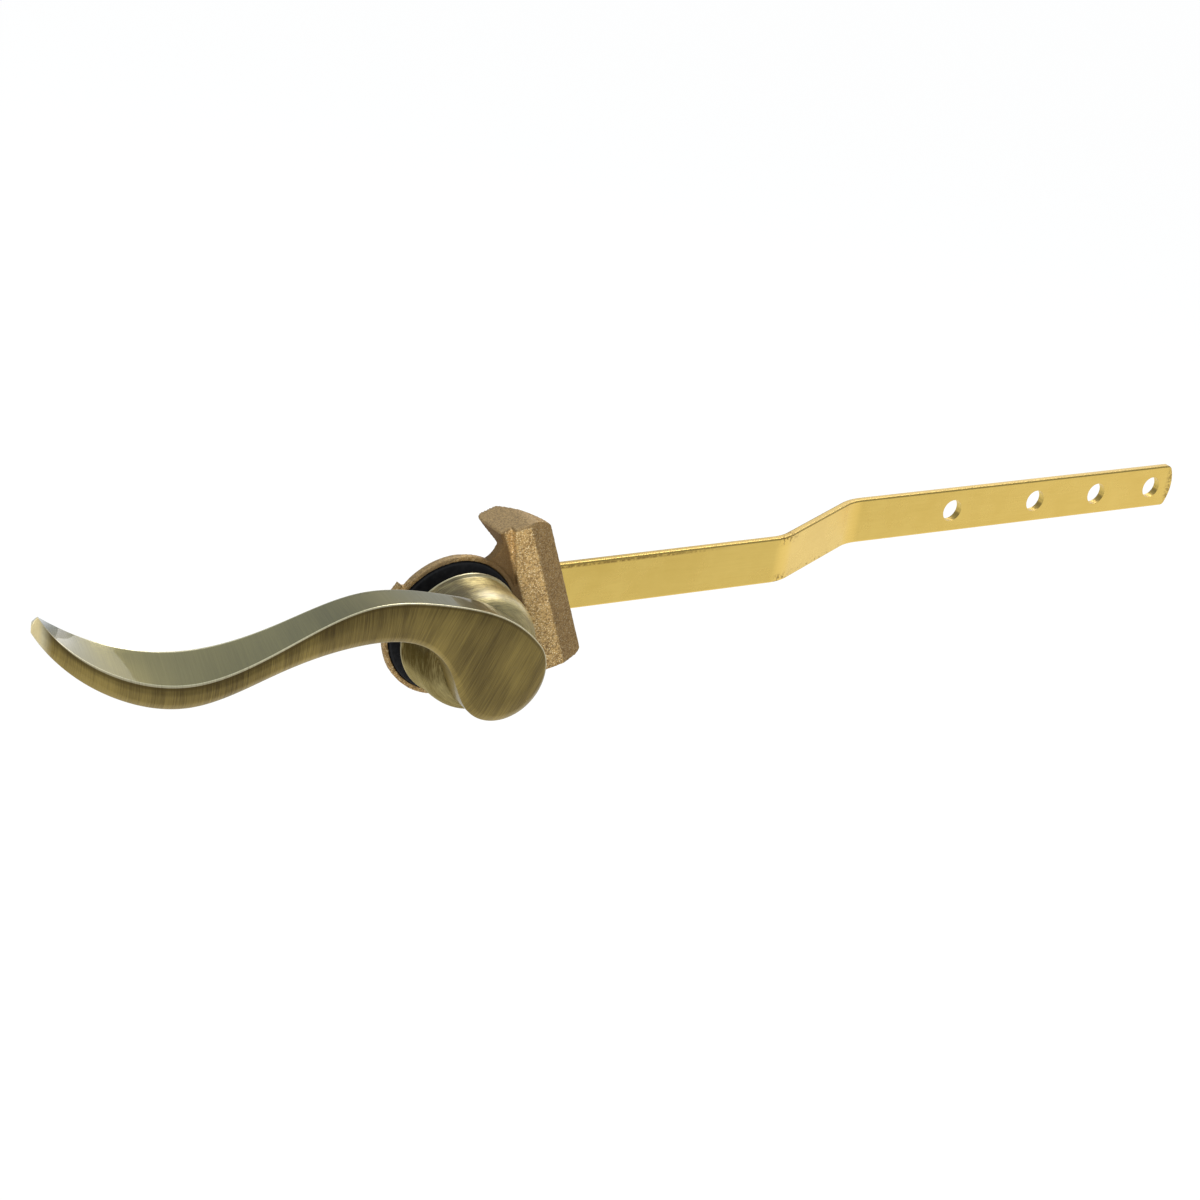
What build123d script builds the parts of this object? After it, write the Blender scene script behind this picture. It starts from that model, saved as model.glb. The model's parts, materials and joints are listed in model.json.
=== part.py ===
from build123d import *
import math
import os

os.makedirs("parts", exist_ok=True)

# Cistern lever in millimetres.
# The origin is on the spindle axis, on the outer face of the cistern wall.
# X runs along the trip arm, Y runs from the hand into the cistern, Z is up.

# Escutcheon and its shank
escutcheon_radius = 15.15
escutcheon_depth = 13.2
escutcheon_front_round = 4.0
escutcheon_back_chamfer = 0.3
foot_flare = 0.5
foot_height = 0.6
foot_blend = 0.7
seat_rim_width = 2.0
seat_recess_depth = 1.2
shank_radius = 8.0
shank_length = 13.2
spindle_fit = 0.06

# Thrust washer between escutcheon and lever, sunk in the front of the escutcheon
thrust_washer_thickness = 1.1
thrust_washer_radius = 9.0
thrust_washer_bore_play = 0.25
thrust_seat_play = 0.15
thrust_stand_proud = 0.1
thrust_clearance = 0.1

# Lever handle
lever_thickness = 7.2
hub_radius = 11.3
hub_offset_x = 1.2
hub_offset_z = -1.9
hub_blend_top_angle = 40.0
hub_blend_low_angle = 215.0
crest_reach = 35.0
crest_rise = 20.6
crest_height = 9.6
crest_low_shift = 3.0
crest_lift = 0.6
bend_run = 21.0
bend_drop = 7.6
bend_height = 6.1
bend_lift = 2.6
thumb_run = 20.0
thumb_drop = 5.8
thumb_height = 5.7
thumb_lift = 5.3
scoop_run = 18.0
scoop_climb = 4.8
scoop_height = 5.4
scoop_lift = 4.3
nose_run = 12.5
nose_climb = 9.6
tip_run = 5.4
tip_climb = 16.3
tip_height = 3.7
tip_slant = 1.2
tip_bulge = 0.5
tip_set_back = 2.8
tip_drop_behind = 3.7
tip_low_drop_behind = 1.8
tip_low_roll = 0.3
tip_lean = 0.6
tip_lean_behind = 0.8
shoulder_reach = 15.0
shoulder_rise = 18.6
brow_x = 1.5
brow_rise = 12.5
throat_reach = 19.4
throat_rise = 8.1
neck_reach = 13.3
neck_rise = 1.9
lower_draft = 0.7
ridge_round = 0.45
low_roll = 1.8
low_roll_depth = 0.9
back_chamfer = 0.3

# Spindle
spindle_radius = 5.0
spindle_seat_depth = 5.0
spindle_seat_gap = 0.2
spindle_seat_play = 0.02
collar_radius = 7.6
collar_thickness = 2.4
collar_clearance = 0.1
square_tail = 7.0
square_tail_short = 0.2
square_tail_play = 0.05
lug_reach = 7.4
lug_depth = 2.3
lug_angle = 34.0
lug_end_gap = 0.3
stop_gap_angle = 0.6
lever_travel = 40.0

# Grub screw under the hub
grub_radius = 2.0
grub_length = 7.4
grub_socket_across = 2.0
grub_socket_depth = 2.0
grub_flat_depth = 0.4
grub_flat_half = 2.6
grub_hole_play = 0.03

# Seal washer and cup nut
washer_stand_off = 3.2
washer_thickness = 2.6
washer_radius = 16.6
washer_proud = 0.5
washer_bore_play = 0.2
cup_wall = 1.3
cup_play = 0.1
cup_wall_depth = 1.8
cup_cone_depth = 4.2
nut_boss_radius = 12.6
nut_boss_length = 6.2
nut_thread_play = 0.12
nut_turn = 21.5

# Wing of the nut, in the turned frame of the nut
wing_stand_proud = 1.8
wing_top = 17.2
wing_bottom = 24.5
wing_inner = 18.2
wing_inner_set = 1.7
wing_ridge = 25.0
wing_ridge_set = 0.3
wing_outer = 31.5
wing_outer_set = 2.0
wing_outer_round = 0.6
wing_lip = 29.0
wing_lip_set = 4.2
wing_end_round = 2.8
wing_top_round = 7.0
shelf_reach = 21.4
shelf_foot = 1.0
shelf_step = 1.3
wing_back_inner = 17.2
wing_back_outer = 22.9
wing_back_round = 2.0
ear_depth = 14.2
ear_foot = 5.0
bar_depth = 5.7
ear_foot_round = 3.0
web_thickness = 6.6
web_thin = 1.4
web_dip = 2.8
web_start = 9.2
web_low_reach = 14.8
web_low_point = 11.9
web_low_point_bottom = 14.0
web_corner_reach = 19.6
web_end_gap = 0.6
stub_angle = 144.0
stub_width = 2.6
stub_reach = 1.2
stub_depth = 2.2
stub_set = 0.6

# Trip arm
arm_width = 12.7
arm_thickness = 2.1
arm_reach = 258.0
arm_root = 7.4
arm_end_radius = 11.5
arm_end_corner = 1.0
arm_edge_round = 0.55
set_start = 104.9
set_run = 33.7
set_depth = 16.2
set_bend_radius = 6.0
chain_hole_radius = 3.175
chain_end_inset = 8.0
chain_pitch_outer = 21.7
chain_pitch_middle = 23.3
chain_pitch_inner = 30.5

# Screw and lock washer behind the arm
screw_radius = 2.5
screw_length = 8.0
screw_head_radius = 5.0
screw_head_height = 2.6
screw_head_chamfer = 0.9
screw_slot_width = 1.2
screw_slot_depth = 1.3
screw_hole_play = 0.04
lock_washer_radius = 5.6
lock_washer_thickness = 1.1
lock_washer_gap = 0.8
lock_washer_play = 0.2

# Stations of the lever's wave, each one counted on from the last
bend_reach = crest_reach + bend_run
thumb_reach = bend_reach + thumb_run
scoop_reach = thumb_reach + scoop_run
nose_reach = scoop_reach + nose_run
lever_reach = nose_reach + tip_run
bend_rise = crest_rise - bend_drop
thumb_rise = bend_rise - thumb_drop
scoop_rise = thumb_rise + scoop_climb
nose_low_rise = scoop_rise - scoop_height + nose_climb
tip_rise = scoop_rise + tip_climb

# Positions along the spindle axis
escutcheon_front_y = -escutcheon_depth
thrust_front_y = escutcheon_front_y - thrust_stand_proud
thrust_seat_y = thrust_front_y + thrust_washer_thickness
lever_back_y = thrust_front_y - thrust_clearance
lever_front_y = lever_back_y - lever_thickness
collar_front_y = shank_length + collar_clearance
arm_front_y = collar_front_y + collar_thickness
arm_back_y = arm_front_y + arm_thickness
arm_far_front_y = arm_front_y + set_depth
set_end = set_start + set_run
chain_hole_4 = arm_reach - chain_end_inset
chain_hole_3 = chain_hole_4 - chain_pitch_outer
chain_hole_2 = chain_hole_3 - chain_pitch_middle
chain_hole_1 = chain_hole_2 - chain_pitch_inner
lock_washer_back_y = arm_back_y + lock_washer_thickness
rim_front_y = washer_stand_off + washer_proud
wing_front_y = rim_front_y - wing_stand_proud
cup_floor_y = washer_stand_off + washer_thickness
nut_back_y = cup_floor_y + nut_boss_length
spindle_front_y = lever_back_y - spindle_seat_depth + spindle_seat_gap
bore_radius = spindle_radius + spindle_fit
foot_radius = escutcheon_radius + foot_flare
thrust_seat_radius = thrust_washer_radius + thrust_seat_play
cup_inner_radius = washer_radius + cup_play
cup_outer_radius = cup_inner_radius + cup_wall


def rod(radius, y_start, y_end):
    """A round bar on the spindle axis."""
    middle = (y_start + y_end) / 2
    bar = Cylinder(radius, y_end - y_start)
    return Pos(0, middle, 0) * Rotation(90, 0, 0) * bar


def block(x_start, x_end, y_start, y_end, z_start, z_end):
    """A box between two corners."""
    middle = Pos((x_start + x_end) / 2, (y_start + y_end) / 2, (z_start + z_end) / 2)
    return middle * Box(x_end - x_start, y_end - y_start, z_end - z_start)


def turned(points):
    """A turned body from a half section of (radius, y) points."""
    section = make_face(Polyline(*[(r, y) for r, y in points], close=True))
    return revolve(section, Axis.Y)


def sector(radius, y_start, y_end, start_angle, end_angle):
    """A pie slice on the spindle axis, angles seen from the front, from +X toward +Z."""
    reach = radius * 1.6
    span = (end_angle - start_angle) / 4
    rays = [math.radians(start_angle + span * step) for step in range(5)]
    corners = [(0, 0)] + [(reach * math.cos(a), reach * math.sin(a)) for a in rays]
    slice_face = make_face(Polyline(*corners, close=True))
    prism = extrude(Plane.XZ * slice_face, amount=-(y_end - y_start))
    return Pos(0, y_start, 0) * prism & rod(radius, y_start, y_end)


# Escutcheon: boss with a flared foot, seat rim, shank with the stop notch
half_section = [
    (bore_radius, thrust_seat_y),
    (thrust_seat_radius, thrust_seat_y),
    (thrust_seat_radius, escutcheon_front_y),
    (escutcheon_radius, escutcheon_front_y),
    (escutcheon_radius, -foot_height - foot_blend),
    (foot_radius, -foot_height),
    (foot_radius, -escutcheon_back_chamfer),
    (foot_radius - escutcheon_back_chamfer, 0),
    (foot_radius - seat_rim_width, 0),
    (foot_radius - seat_rim_width, -seat_recess_depth),
    (shank_radius, -seat_recess_depth),
    (shank_radius, shank_length),
    (bore_radius, shank_length),
]
escutcheon = turned(half_section)
front_rim = [
    edge
    for edge in escutcheon.edges().filter_by(GeomType.CIRCLE)
    if abs(edge.center().Y - escutcheon_front_y) < 0.01 and edge.radius > thrust_seat_radius + 1
]
escutcheon = fillet(front_rim, escutcheon_front_round)
lug_low_angle = 90.0 - lug_angle / 2
lug_high_angle = 90.0 + lug_angle / 2
notch_front_y = collar_front_y - lug_depth - lug_end_gap
notch = sector(
    shank_radius + 1,
    notch_front_y,
    shank_length + 1,
    lug_low_angle - stop_gap_angle,
    lug_high_angle + lever_travel + stop_gap_angle,
)
escutcheon = escutcheon - notch

# Thrust washer
thrust_washer = rod(thrust_washer_radius, thrust_front_y, thrust_seat_y)
thrust_washer = thrust_washer - rod(
    spindle_radius + thrust_washer_bore_play, thrust_front_y - 1, thrust_seat_y + 1
)


def hub_point(angle, inset):
    """A point of the hub outline drawn in by an inset, angle from +X toward +Z."""
    a = math.radians(angle)
    radius = hub_radius - inset
    return (hub_offset_x + radius * math.cos(a), hub_offset_z + radius * math.sin(a))


def lever_outline(depth, top_inset, low_inset):
    """Outline of the lever at one depth behind its front face.

    The two insets draw the upper and the lower edge in, to round the body off.
    """
    share = depth / lever_thickness
    lift = thumb_lift * share
    draft = lower_draft * share
    tip_x = -lever_reach + tip_set_back * share + top_inset
    tip_top = (tip_x, tip_rise - tip_drop_behind * share - top_inset)
    tip_low_z = tip_rise - tip_height - tip_low_drop_behind * share
    tip_low = (tip_x - tip_slant, tip_low_z + low_inset * tip_low_roll)
    tip_mid = (
        (tip_top[0] + tip_low[0]) / 2 - tip_bulge,
        (tip_top[1] + tip_low[1]) / 2,
    )
    hub_top = hub_point(hub_blend_top_angle, top_inset)
    hub_low = hub_point(hub_blend_low_angle, low_inset)
    hub_mid = hub_point((hub_blend_top_angle + hub_blend_low_angle) / 2 - 180, low_inset)
    hub = ThreePointArc(hub_top, hub_mid, hub_low)
    top = Spline(
        tip_top,
        (-scoop_reach, scoop_rise + scoop_lift * share - top_inset),
        (-thumb_reach, thumb_rise + lift - top_inset),
        (-bend_reach, bend_rise + bend_lift * share - top_inset),
        (-crest_reach, crest_rise + crest_lift * share - top_inset),
        (-shoulder_reach, shoulder_rise - top_inset),
        (brow_x - top_inset * 0.5, brow_rise - top_inset * 0.8),
        hub_top,
        tangents=[(tip_lean + tip_lean_behind * share, -1), hub % 0],
        tangent_scalars=[1, 1],
    )
    low = Spline(
        hub_low,
        (-neck_reach + low_inset * 0.5, neck_rise + low_inset * 0.2),
        (-throat_reach + low_inset * 0.4, throat_rise + low_inset * 0.6),
        (-crest_reach - crest_low_shift, crest_rise - crest_height + low_inset),
        (-bend_reach, bend_rise - bend_height + draft + low_inset),
        (-thumb_reach, thumb_rise - thumb_height + draft + low_inset),
        (-scoop_reach, scoop_rise - scoop_height + draft + low_inset),
        (-nose_reach + low_inset * 0.6, nose_low_rise + draft + low_inset * 0.6),
        tip_low,
        tangents=[hub % 1, (-tip_lean, 1)],
        tangent_scalars=[1, 1],
    )
    tip = ThreePointArc(tip_low, tip_mid, tip_top)
    outline = make_face([top, hub, low, tip])
    place = Plane((0, lever_front_y + depth, 0), x_dir=(1, 0, 0), z_dir=(0, -1, 0))
    return place * outline


# Lever handle: a ruled body from the front outline to the back outline
lever_sections = [
    lever_outline(0, ridge_round, low_roll),
    lever_outline(ridge_round * 0.3, ridge_round * 0.3, low_roll * 0.55),
    lever_outline(ridge_round, 0, low_roll * 0.25),
    lever_outline(low_roll_depth, 0, 0),
    lever_outline(lever_thickness - back_chamfer, 0, 0),
    lever_outline(lever_thickness, back_chamfer, back_chamfer),
]
lever_handle = loft(lever_sections, ruled=True)

# Spindle seat and grub screw hole in the hub
grub_y = (lever_front_y + lever_back_y) / 2
lever_handle = lever_handle - rod(
    spindle_radius + spindle_seat_play, lever_back_y - spindle_seat_depth, lever_back_y + 1
)
grub_top_z = -spindle_radius + grub_flat_depth
grub_hole = Pos(0, grub_y, -hub_radius) * Cylinder(grub_radius + grub_hole_play, 2 * hub_radius)
lever_handle = lever_handle - (
    grub_hole & block(-hub_radius, hub_radius, lever_front_y, lever_back_y, -2 * hub_radius, 0)
)

# Spindle: seat in the hub, collar behind the shank, stop lug, square tail
spindle = rod(spindle_radius, spindle_front_y, arm_front_y)
spindle = spindle + rod(collar_radius, collar_front_y, arm_front_y)
lug = sector(
    lug_reach, collar_front_y - lug_depth, collar_front_y, lug_low_angle, lug_high_angle
)
spindle = spindle + lug
half_tail = square_tail / 2
spindle = spindle + block(
    -half_tail, half_tail, arm_front_y, arm_back_y - square_tail_short, -half_tail, half_tail
)
spindle = spindle - rod(
    screw_radius + screw_hole_play, arm_back_y - screw_length, arm_back_y + 1
)
spindle = spindle - block(
    -spindle_radius,
    spindle_radius,
    grub_y - grub_flat_half,
    grub_y + grub_flat_half,
    -spindle_radius - 1,
    grub_top_z,
)

# Grub screw
grub_screw = Pos(0, grub_y, grub_top_z - grub_length / 2) * Cylinder(grub_radius, grub_length)
socket_face = RegularPolygon(grub_socket_across / 2, 6, major_radius=False)
socket = extrude(
    Pos(0, grub_y, grub_top_z - grub_length) * socket_face, amount=grub_socket_depth
)
grub_screw = grub_screw - socket

# Seal washer
seal_washer = rod(washer_radius, washer_stand_off, cup_floor_y)
seal_washer = seal_washer - rod(
    shank_radius + washer_bore_play, washer_stand_off - 1, cup_floor_y + 1
)

# Cup nut: cup and threaded boss
cup_cone_y = rim_front_y + cup_wall_depth
cup = turned(
    [
        (0, rim_front_y),
        (cup_outer_radius, rim_front_y),
        (cup_outer_radius, cup_cone_y),
        (nut_boss_radius, cup_cone_y + cup_cone_depth),
        (nut_boss_radius, nut_back_y),
        (0, nut_back_y),
    ]
)

# Wing bar of the nut, with an ear swept back at each end
wing_profile = Polyline(
    (wing_inner, wing_front_y + wing_inner_set),
    (wing_ridge, wing_front_y + wing_ridge_set),
    (wing_outer, wing_front_y + wing_outer_set),
    (wing_lip, wing_front_y + wing_lip_set),
    (wing_back_outer, wing_front_y + ear_depth),
    (wing_back_inner, wing_front_y + ear_depth),
    close=True,
)
wing_face = make_face(wing_profile)
wing_face = fillet(wing_face.vertices().sort_by(Axis.Y)[-2:], wing_back_round)
wing_face = fillet(wing_face.vertices().sort_by(Axis.X)[-1:], wing_outer_round)
wing = Pos(0, 0, -wing_bottom) * extrude(wing_face, amount=wing_top + wing_bottom)
finger_gap = Polyline(
    (wing_front_y + ear_depth + 5, wing_top + 3),
    (wing_front_y + ear_depth, wing_top),
    (wing_front_y + bar_depth, wing_top - ear_foot),
    (wing_front_y + bar_depth, -wing_bottom + ear_foot),
    (wing_front_y + ear_depth, -wing_bottom),
    (wing_front_y + ear_depth + 5, -wing_bottom - 3),
    close=True,
)
gap_face = make_face(finger_gap)
gap_feet = gap_face.vertices().sort_by(Axis.X)[:2]
gap_face = fillet(gap_feet, ear_foot_round)
wing = wing - Plane.YZ * extrude(gap_face, amount=wing_outer + 10)
wing_plan = make_face(
    Polyline(
        (wing_back_inner - 3, wing_top),
        (wing_back_inner - 3, -wing_bottom),
        (wing_outer, -wing_bottom),
        (wing_outer, wing_top),
        close=True,
    )
)
lower_corner = wing_plan.vertices().sort_by(Axis.Y)[:2].sort_by(Axis.X)[-1:]
wing_plan = fillet(lower_corner, wing_end_round)
upper_corner = wing_plan.vertices().sort_by(Axis.Y)[-2:].sort_by(Axis.X)[-1:]
wing_plan = fillet(upper_corner, wing_top_round)
wing = wing & extrude(Plane.XZ * wing_plan, amount=-(wing_front_y + ear_depth + 5))

# Shelf beside the upper end of the wing's front face
shelf_plan = make_face(
    Polyline(
        (wing_back_inner - 3, wing_top + 1),
        (shelf_reach, wing_top + 1),
        (wing_inner, shelf_foot),
        (wing_back_inner - 3, shelf_foot),
        close=True,
    )
)
shelf_y = wing_front_y + wing_inner_set + shelf_step
wing = wing - extrude(Plane.XZ * shelf_plan, amount=-shelf_y)

# Web between cup and wing, thick at the wing and thin at the cup
web_root = math.sqrt(cup_outer_radius**2 - web_start**2)
web_top = ThreePointArc(
    (web_start, web_root),
    (web_low_reach, web_low_point),
    (web_corner_reach, wing_top - web_end_gap),
)
web_low = ThreePointArc(
    (web_corner_reach, -wing_bottom + ear_foot),
    (web_low_reach, -web_low_point_bottom),
    (web_start, -web_root),
)
web_face = make_face(
    [
        web_top,
        Line(web_top @ 1, web_low @ 0),
        web_low,
        Line(web_low @ 1, web_top @ 0),
    ]
)
web = extrude(Plane.XZ * web_face, amount=-(web_thickness + wing_stand_proud))
web = Pos(0, wing_front_y, 0) * web
web_taper = make_face(
    Polyline(
        (0, rim_front_y),
        (web_start, rim_front_y),
        (web_corner_reach, wing_front_y + web_dip),
        (web_corner_reach, wing_front_y + web_thickness),
        (web_start, rim_front_y + web_thin),
        (0, rim_front_y + web_thin),
        close=True,
    )
)
web = web & extrude(web_taper, amount=wing_bottom, both=True)

# Stub left on the cup wall by the casting
stub = block(
    cup_inner_radius + cup_wall / 4,
    cup_outer_radius + stub_reach,
    rim_front_y + stub_set,
    rim_front_y + stub_set + stub_depth,
    -stub_width / 2,
    stub_width / 2,
)
cup = cup + Rotation(0, -stub_angle, 0) * stub
cup_nut = Rotation(0, -nut_turn, 0) * (wing + web) + cup
cup_nut = cup_nut - rod(cup_inner_radius, rim_front_y - 5, cup_floor_y)
cup_nut = cup_nut - rod(shank_radius + nut_thread_play, 0, nut_back_y + 1)

# Trip arm: a strip with a backward set
set_line = [
    (-arm_root, arm_front_y),
    (set_start, arm_front_y),
    (set_end, arm_far_front_y),
    (arm_reach, arm_far_front_y),
]
path = FilletPolyline(*set_line, radius=set_bend_radius)
strip_face = make_face(offset(path, amount=-arm_thickness, side=Side.LEFT, closed=True))
strip = extrude(strip_face, amount=arm_width / 2, both=True)
long_edges = [
    edge
    for edge in strip.edges()
    if abs(abs(edge.center().Z) - arm_width / 2) < 0.01 and edge.length > arm_thickness * 1.05
]
strip = fillet(long_edges, arm_edge_round)
half_width = arm_width / 2
end_bulge = arm_end_radius - math.sqrt(arm_end_radius**2 - half_width**2)
square_end = arm_reach - end_bulge
plan = make_face(
    [
        Line((-arm_root + half_width, half_width), (square_end, half_width)),
        ThreePointArc((square_end, half_width), (arm_reach, 0), (square_end, -half_width)),
        Line((square_end, -half_width), (-arm_root + half_width, -half_width)),
        ThreePointArc(
            (-arm_root + half_width, -half_width),
            (-arm_root, 0),
            (-arm_root + half_width, half_width),
        ),
    ]
)
plan = fillet(plan.vertices().sort_by(Axis.X)[-2:], arm_end_corner)
blank = extrude(Plane.XZ * plan, amount=-2 * arm_far_front_y)
trip_arm = strip & blank
for hole_x in (chain_hole_1, chain_hole_2, chain_hole_3, chain_hole_4):
    trip_arm = trip_arm - Pos(hole_x, 0, 0) * rod(
        chain_hole_radius, arm_far_front_y - 1, arm_far_front_y + arm_thickness + 1
    )
half_hole = half_tail + square_tail_play
trip_arm = trip_arm - block(
    -half_hole, half_hole, arm_front_y - 1, arm_back_y + 1, -half_hole, half_hole
)

# Lock washer, split on one side
lock_washer = rod(lock_washer_radius, arm_back_y, lock_washer_back_y)
lock_washer = lock_washer - rod(
    screw_radius + lock_washer_play, arm_back_y - 1, lock_washer_back_y + 1
)
lock_washer = lock_washer - block(
    0,
    lock_washer_radius + 1,
    arm_back_y - 1,
    lock_washer_back_y + 1,
    -lock_washer_gap / 2,
    lock_washer_gap / 2,
)

# Arm screw with a slotted head
screw_head_y = lock_washer_back_y + screw_head_height
head = rod(screw_head_radius, lock_washer_back_y, screw_head_y)
head_rim = head.edges().filter_by_position(Axis.Y, screw_head_y - 0.01, screw_head_y + 0.01)
head = chamfer(head_rim, screw_head_chamfer)
arm_screw = head + rod(screw_radius, arm_back_y - screw_length, lock_washer_back_y)
arm_screw = arm_screw - block(
    -screw_head_radius - 1,
    screw_head_radius + 1,
    screw_head_y - screw_slot_depth,
    screw_head_y + 1,
    -screw_slot_width / 2,
    screw_slot_width / 2,
)

pieces = {
    "escutcheon": escutcheon,
    "thrust_washer": thrust_washer,
    "seal_washer": seal_washer,
    "cup_nut": cup_nut,
    "lever_handle": lever_handle,
    "spindle": spindle,
    "grub_screw": grub_screw,
    "trip_arm": trip_arm,
    "lock_washer": lock_washer,
    "arm_screw": arm_screw,
}
for name, piece in pieces.items():
    export_step(piece, f"parts/{name}.step")
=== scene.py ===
"""Looks of a cistern lever: a brushed antique brass handle that turns in its escutcheon, with a
cast bronze cup nut behind the wall and a yellow brass trip arm inside the cistern.

Every length is in millimetres until a mesh is made. X runs along the trip arm, Y runs from the hand
into the cistern, Z is up, and the origin is on the spindle axis at the wall.
"""

from __future__ import annotations

import json
import logging
import math
from dataclasses import dataclass
from enum import Enum
from typing import Any, Callable, Optional, Sequence, Union

import bmesh
import bpy
import numpy as np
from mathutils import Matrix, Vector, noise

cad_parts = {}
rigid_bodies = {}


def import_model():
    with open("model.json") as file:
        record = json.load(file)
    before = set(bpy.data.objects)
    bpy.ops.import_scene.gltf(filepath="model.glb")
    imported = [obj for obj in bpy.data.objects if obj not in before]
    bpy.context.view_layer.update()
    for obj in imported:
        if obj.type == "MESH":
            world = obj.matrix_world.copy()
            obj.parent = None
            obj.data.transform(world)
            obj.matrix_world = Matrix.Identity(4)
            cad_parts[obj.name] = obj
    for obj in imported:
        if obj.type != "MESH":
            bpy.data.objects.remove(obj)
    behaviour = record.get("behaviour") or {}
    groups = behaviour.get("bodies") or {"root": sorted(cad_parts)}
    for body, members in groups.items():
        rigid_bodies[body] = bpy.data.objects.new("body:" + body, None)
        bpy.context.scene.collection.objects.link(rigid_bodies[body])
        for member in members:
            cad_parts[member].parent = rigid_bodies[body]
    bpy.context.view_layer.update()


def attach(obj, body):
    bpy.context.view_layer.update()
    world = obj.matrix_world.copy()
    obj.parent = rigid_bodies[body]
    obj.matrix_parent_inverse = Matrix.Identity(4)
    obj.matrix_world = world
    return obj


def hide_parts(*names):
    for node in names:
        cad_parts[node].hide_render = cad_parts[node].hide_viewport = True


LOG = logging.getLogger("cistern_lever")
MM = 0.001
# A span runs from a start to an end, a band has soft shoulders, a grain is fineness, detail and strength
Colour = tuple[float, float, float]
Point = tuple[float, float, float]
Pair = tuple[float, float]
Span = tuple[float, float]
Band = tuple[float, float, float, float]
Grain = tuple[float, ...]
Number = Union["Wire", float, int]
Piece = bpy.types.Object
Material = bpy.types.Material


class Body(Enum):
    """The two bodies of the part."""

    TANK_FITTING = "tank_fitting"
    LEVER = "lever"


class Slot(Enum):
    """The finishes that the part's record names."""

    ANTIQUE_BRASS = "antique_brass"
    YELLOW_BRASS = "yellow_brass"
    TURNED_BRASS = "turned_brass"
    CAST_BRONZE = "cast_bronze"
    BLACK_RUBBER = "black_rubber"
    PALE_PLASTIC = "pale_plastic"
    SCREW_STEEL = "screw_steel"


class Brush(Enum):
    """Which way the abrasive belt ran over the antique brass."""

    ACROSS_LEVER = "across the lever"
    AROUND_AXIS = "around the spindle axis"


def operator(operation: str, swapped: bool = False) -> Callable[[Wire, Number], Wire]:
    """Make a Python operator that adds one Math node.

    Args:
        operation: The Math node's operation.
        swapped: The other value comes first.

    Returns:
        A method for the Wire class.
    """

    def apply(wire: Wire, other: Number) -> Wire:
        """Join a wire with another wire or a number."""
        return wire.math(operation, other, wire) if swapped else wire.math(operation, wire, other)

    return apply


def plug(tree: bpy.types.NodeTree, socket: bpy.types.NodeSocket, value: Any) -> None:
    """Link a wire to an input, or set the input's own value.

    Args:
        tree: The tree of both.
        socket: The input.
        value: A wire, a number, a colour or a vector.
    """
    if isinstance(value, Wire):
        tree.links.new(value.socket, socket)
    elif socket.type == "RGBA":
        socket.default_value = (*value, 1.0)
    else:
        socket.default_value = value


class Wire:
    """One socket of a node tree, with its maths written as Python operators."""

    def __init__(self, tree: bpy.types.NodeTree, socket: bpy.types.NodeSocket) -> None:
        """Keep the socket and the tree that it belongs to."""
        self.tree = tree
        self.socket = socket

    def math(self, operation: str, *values: Number) -> Wire:
        """Add one Math node.

        Args:
            operation: The Math node's operation.
            values: Its inputs in order, each a wire or a number.

        Returns:
            The node's result.
        """
        node = self.tree.nodes.new("ShaderNodeMath")
        node.operation = operation
        for socket, value in zip(node.inputs, values):
            plug(self.tree, socket, value)
        return Wire(self.tree, node.outputs[0])

    def __abs__(self) -> Wire:
        """Size without sign."""
        return self.math("ABSOLUTE", self)

    __add__ = operator("ADD")
    __radd__ = operator("ADD", swapped=True)
    __sub__ = operator("SUBTRACT")
    __rsub__ = operator("SUBTRACT", swapped=True)
    __mul__ = operator("MULTIPLY")
    __rmul__ = operator("MULTIPLY", swapped=True)
    __truediv__ = operator("DIVIDE")
    __rtruediv__ = operator("DIVIDE", swapped=True)
    __pow__ = operator("POWER")
    most = operator("MAXIMUM")
    least = operator("MINIMUM")


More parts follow.
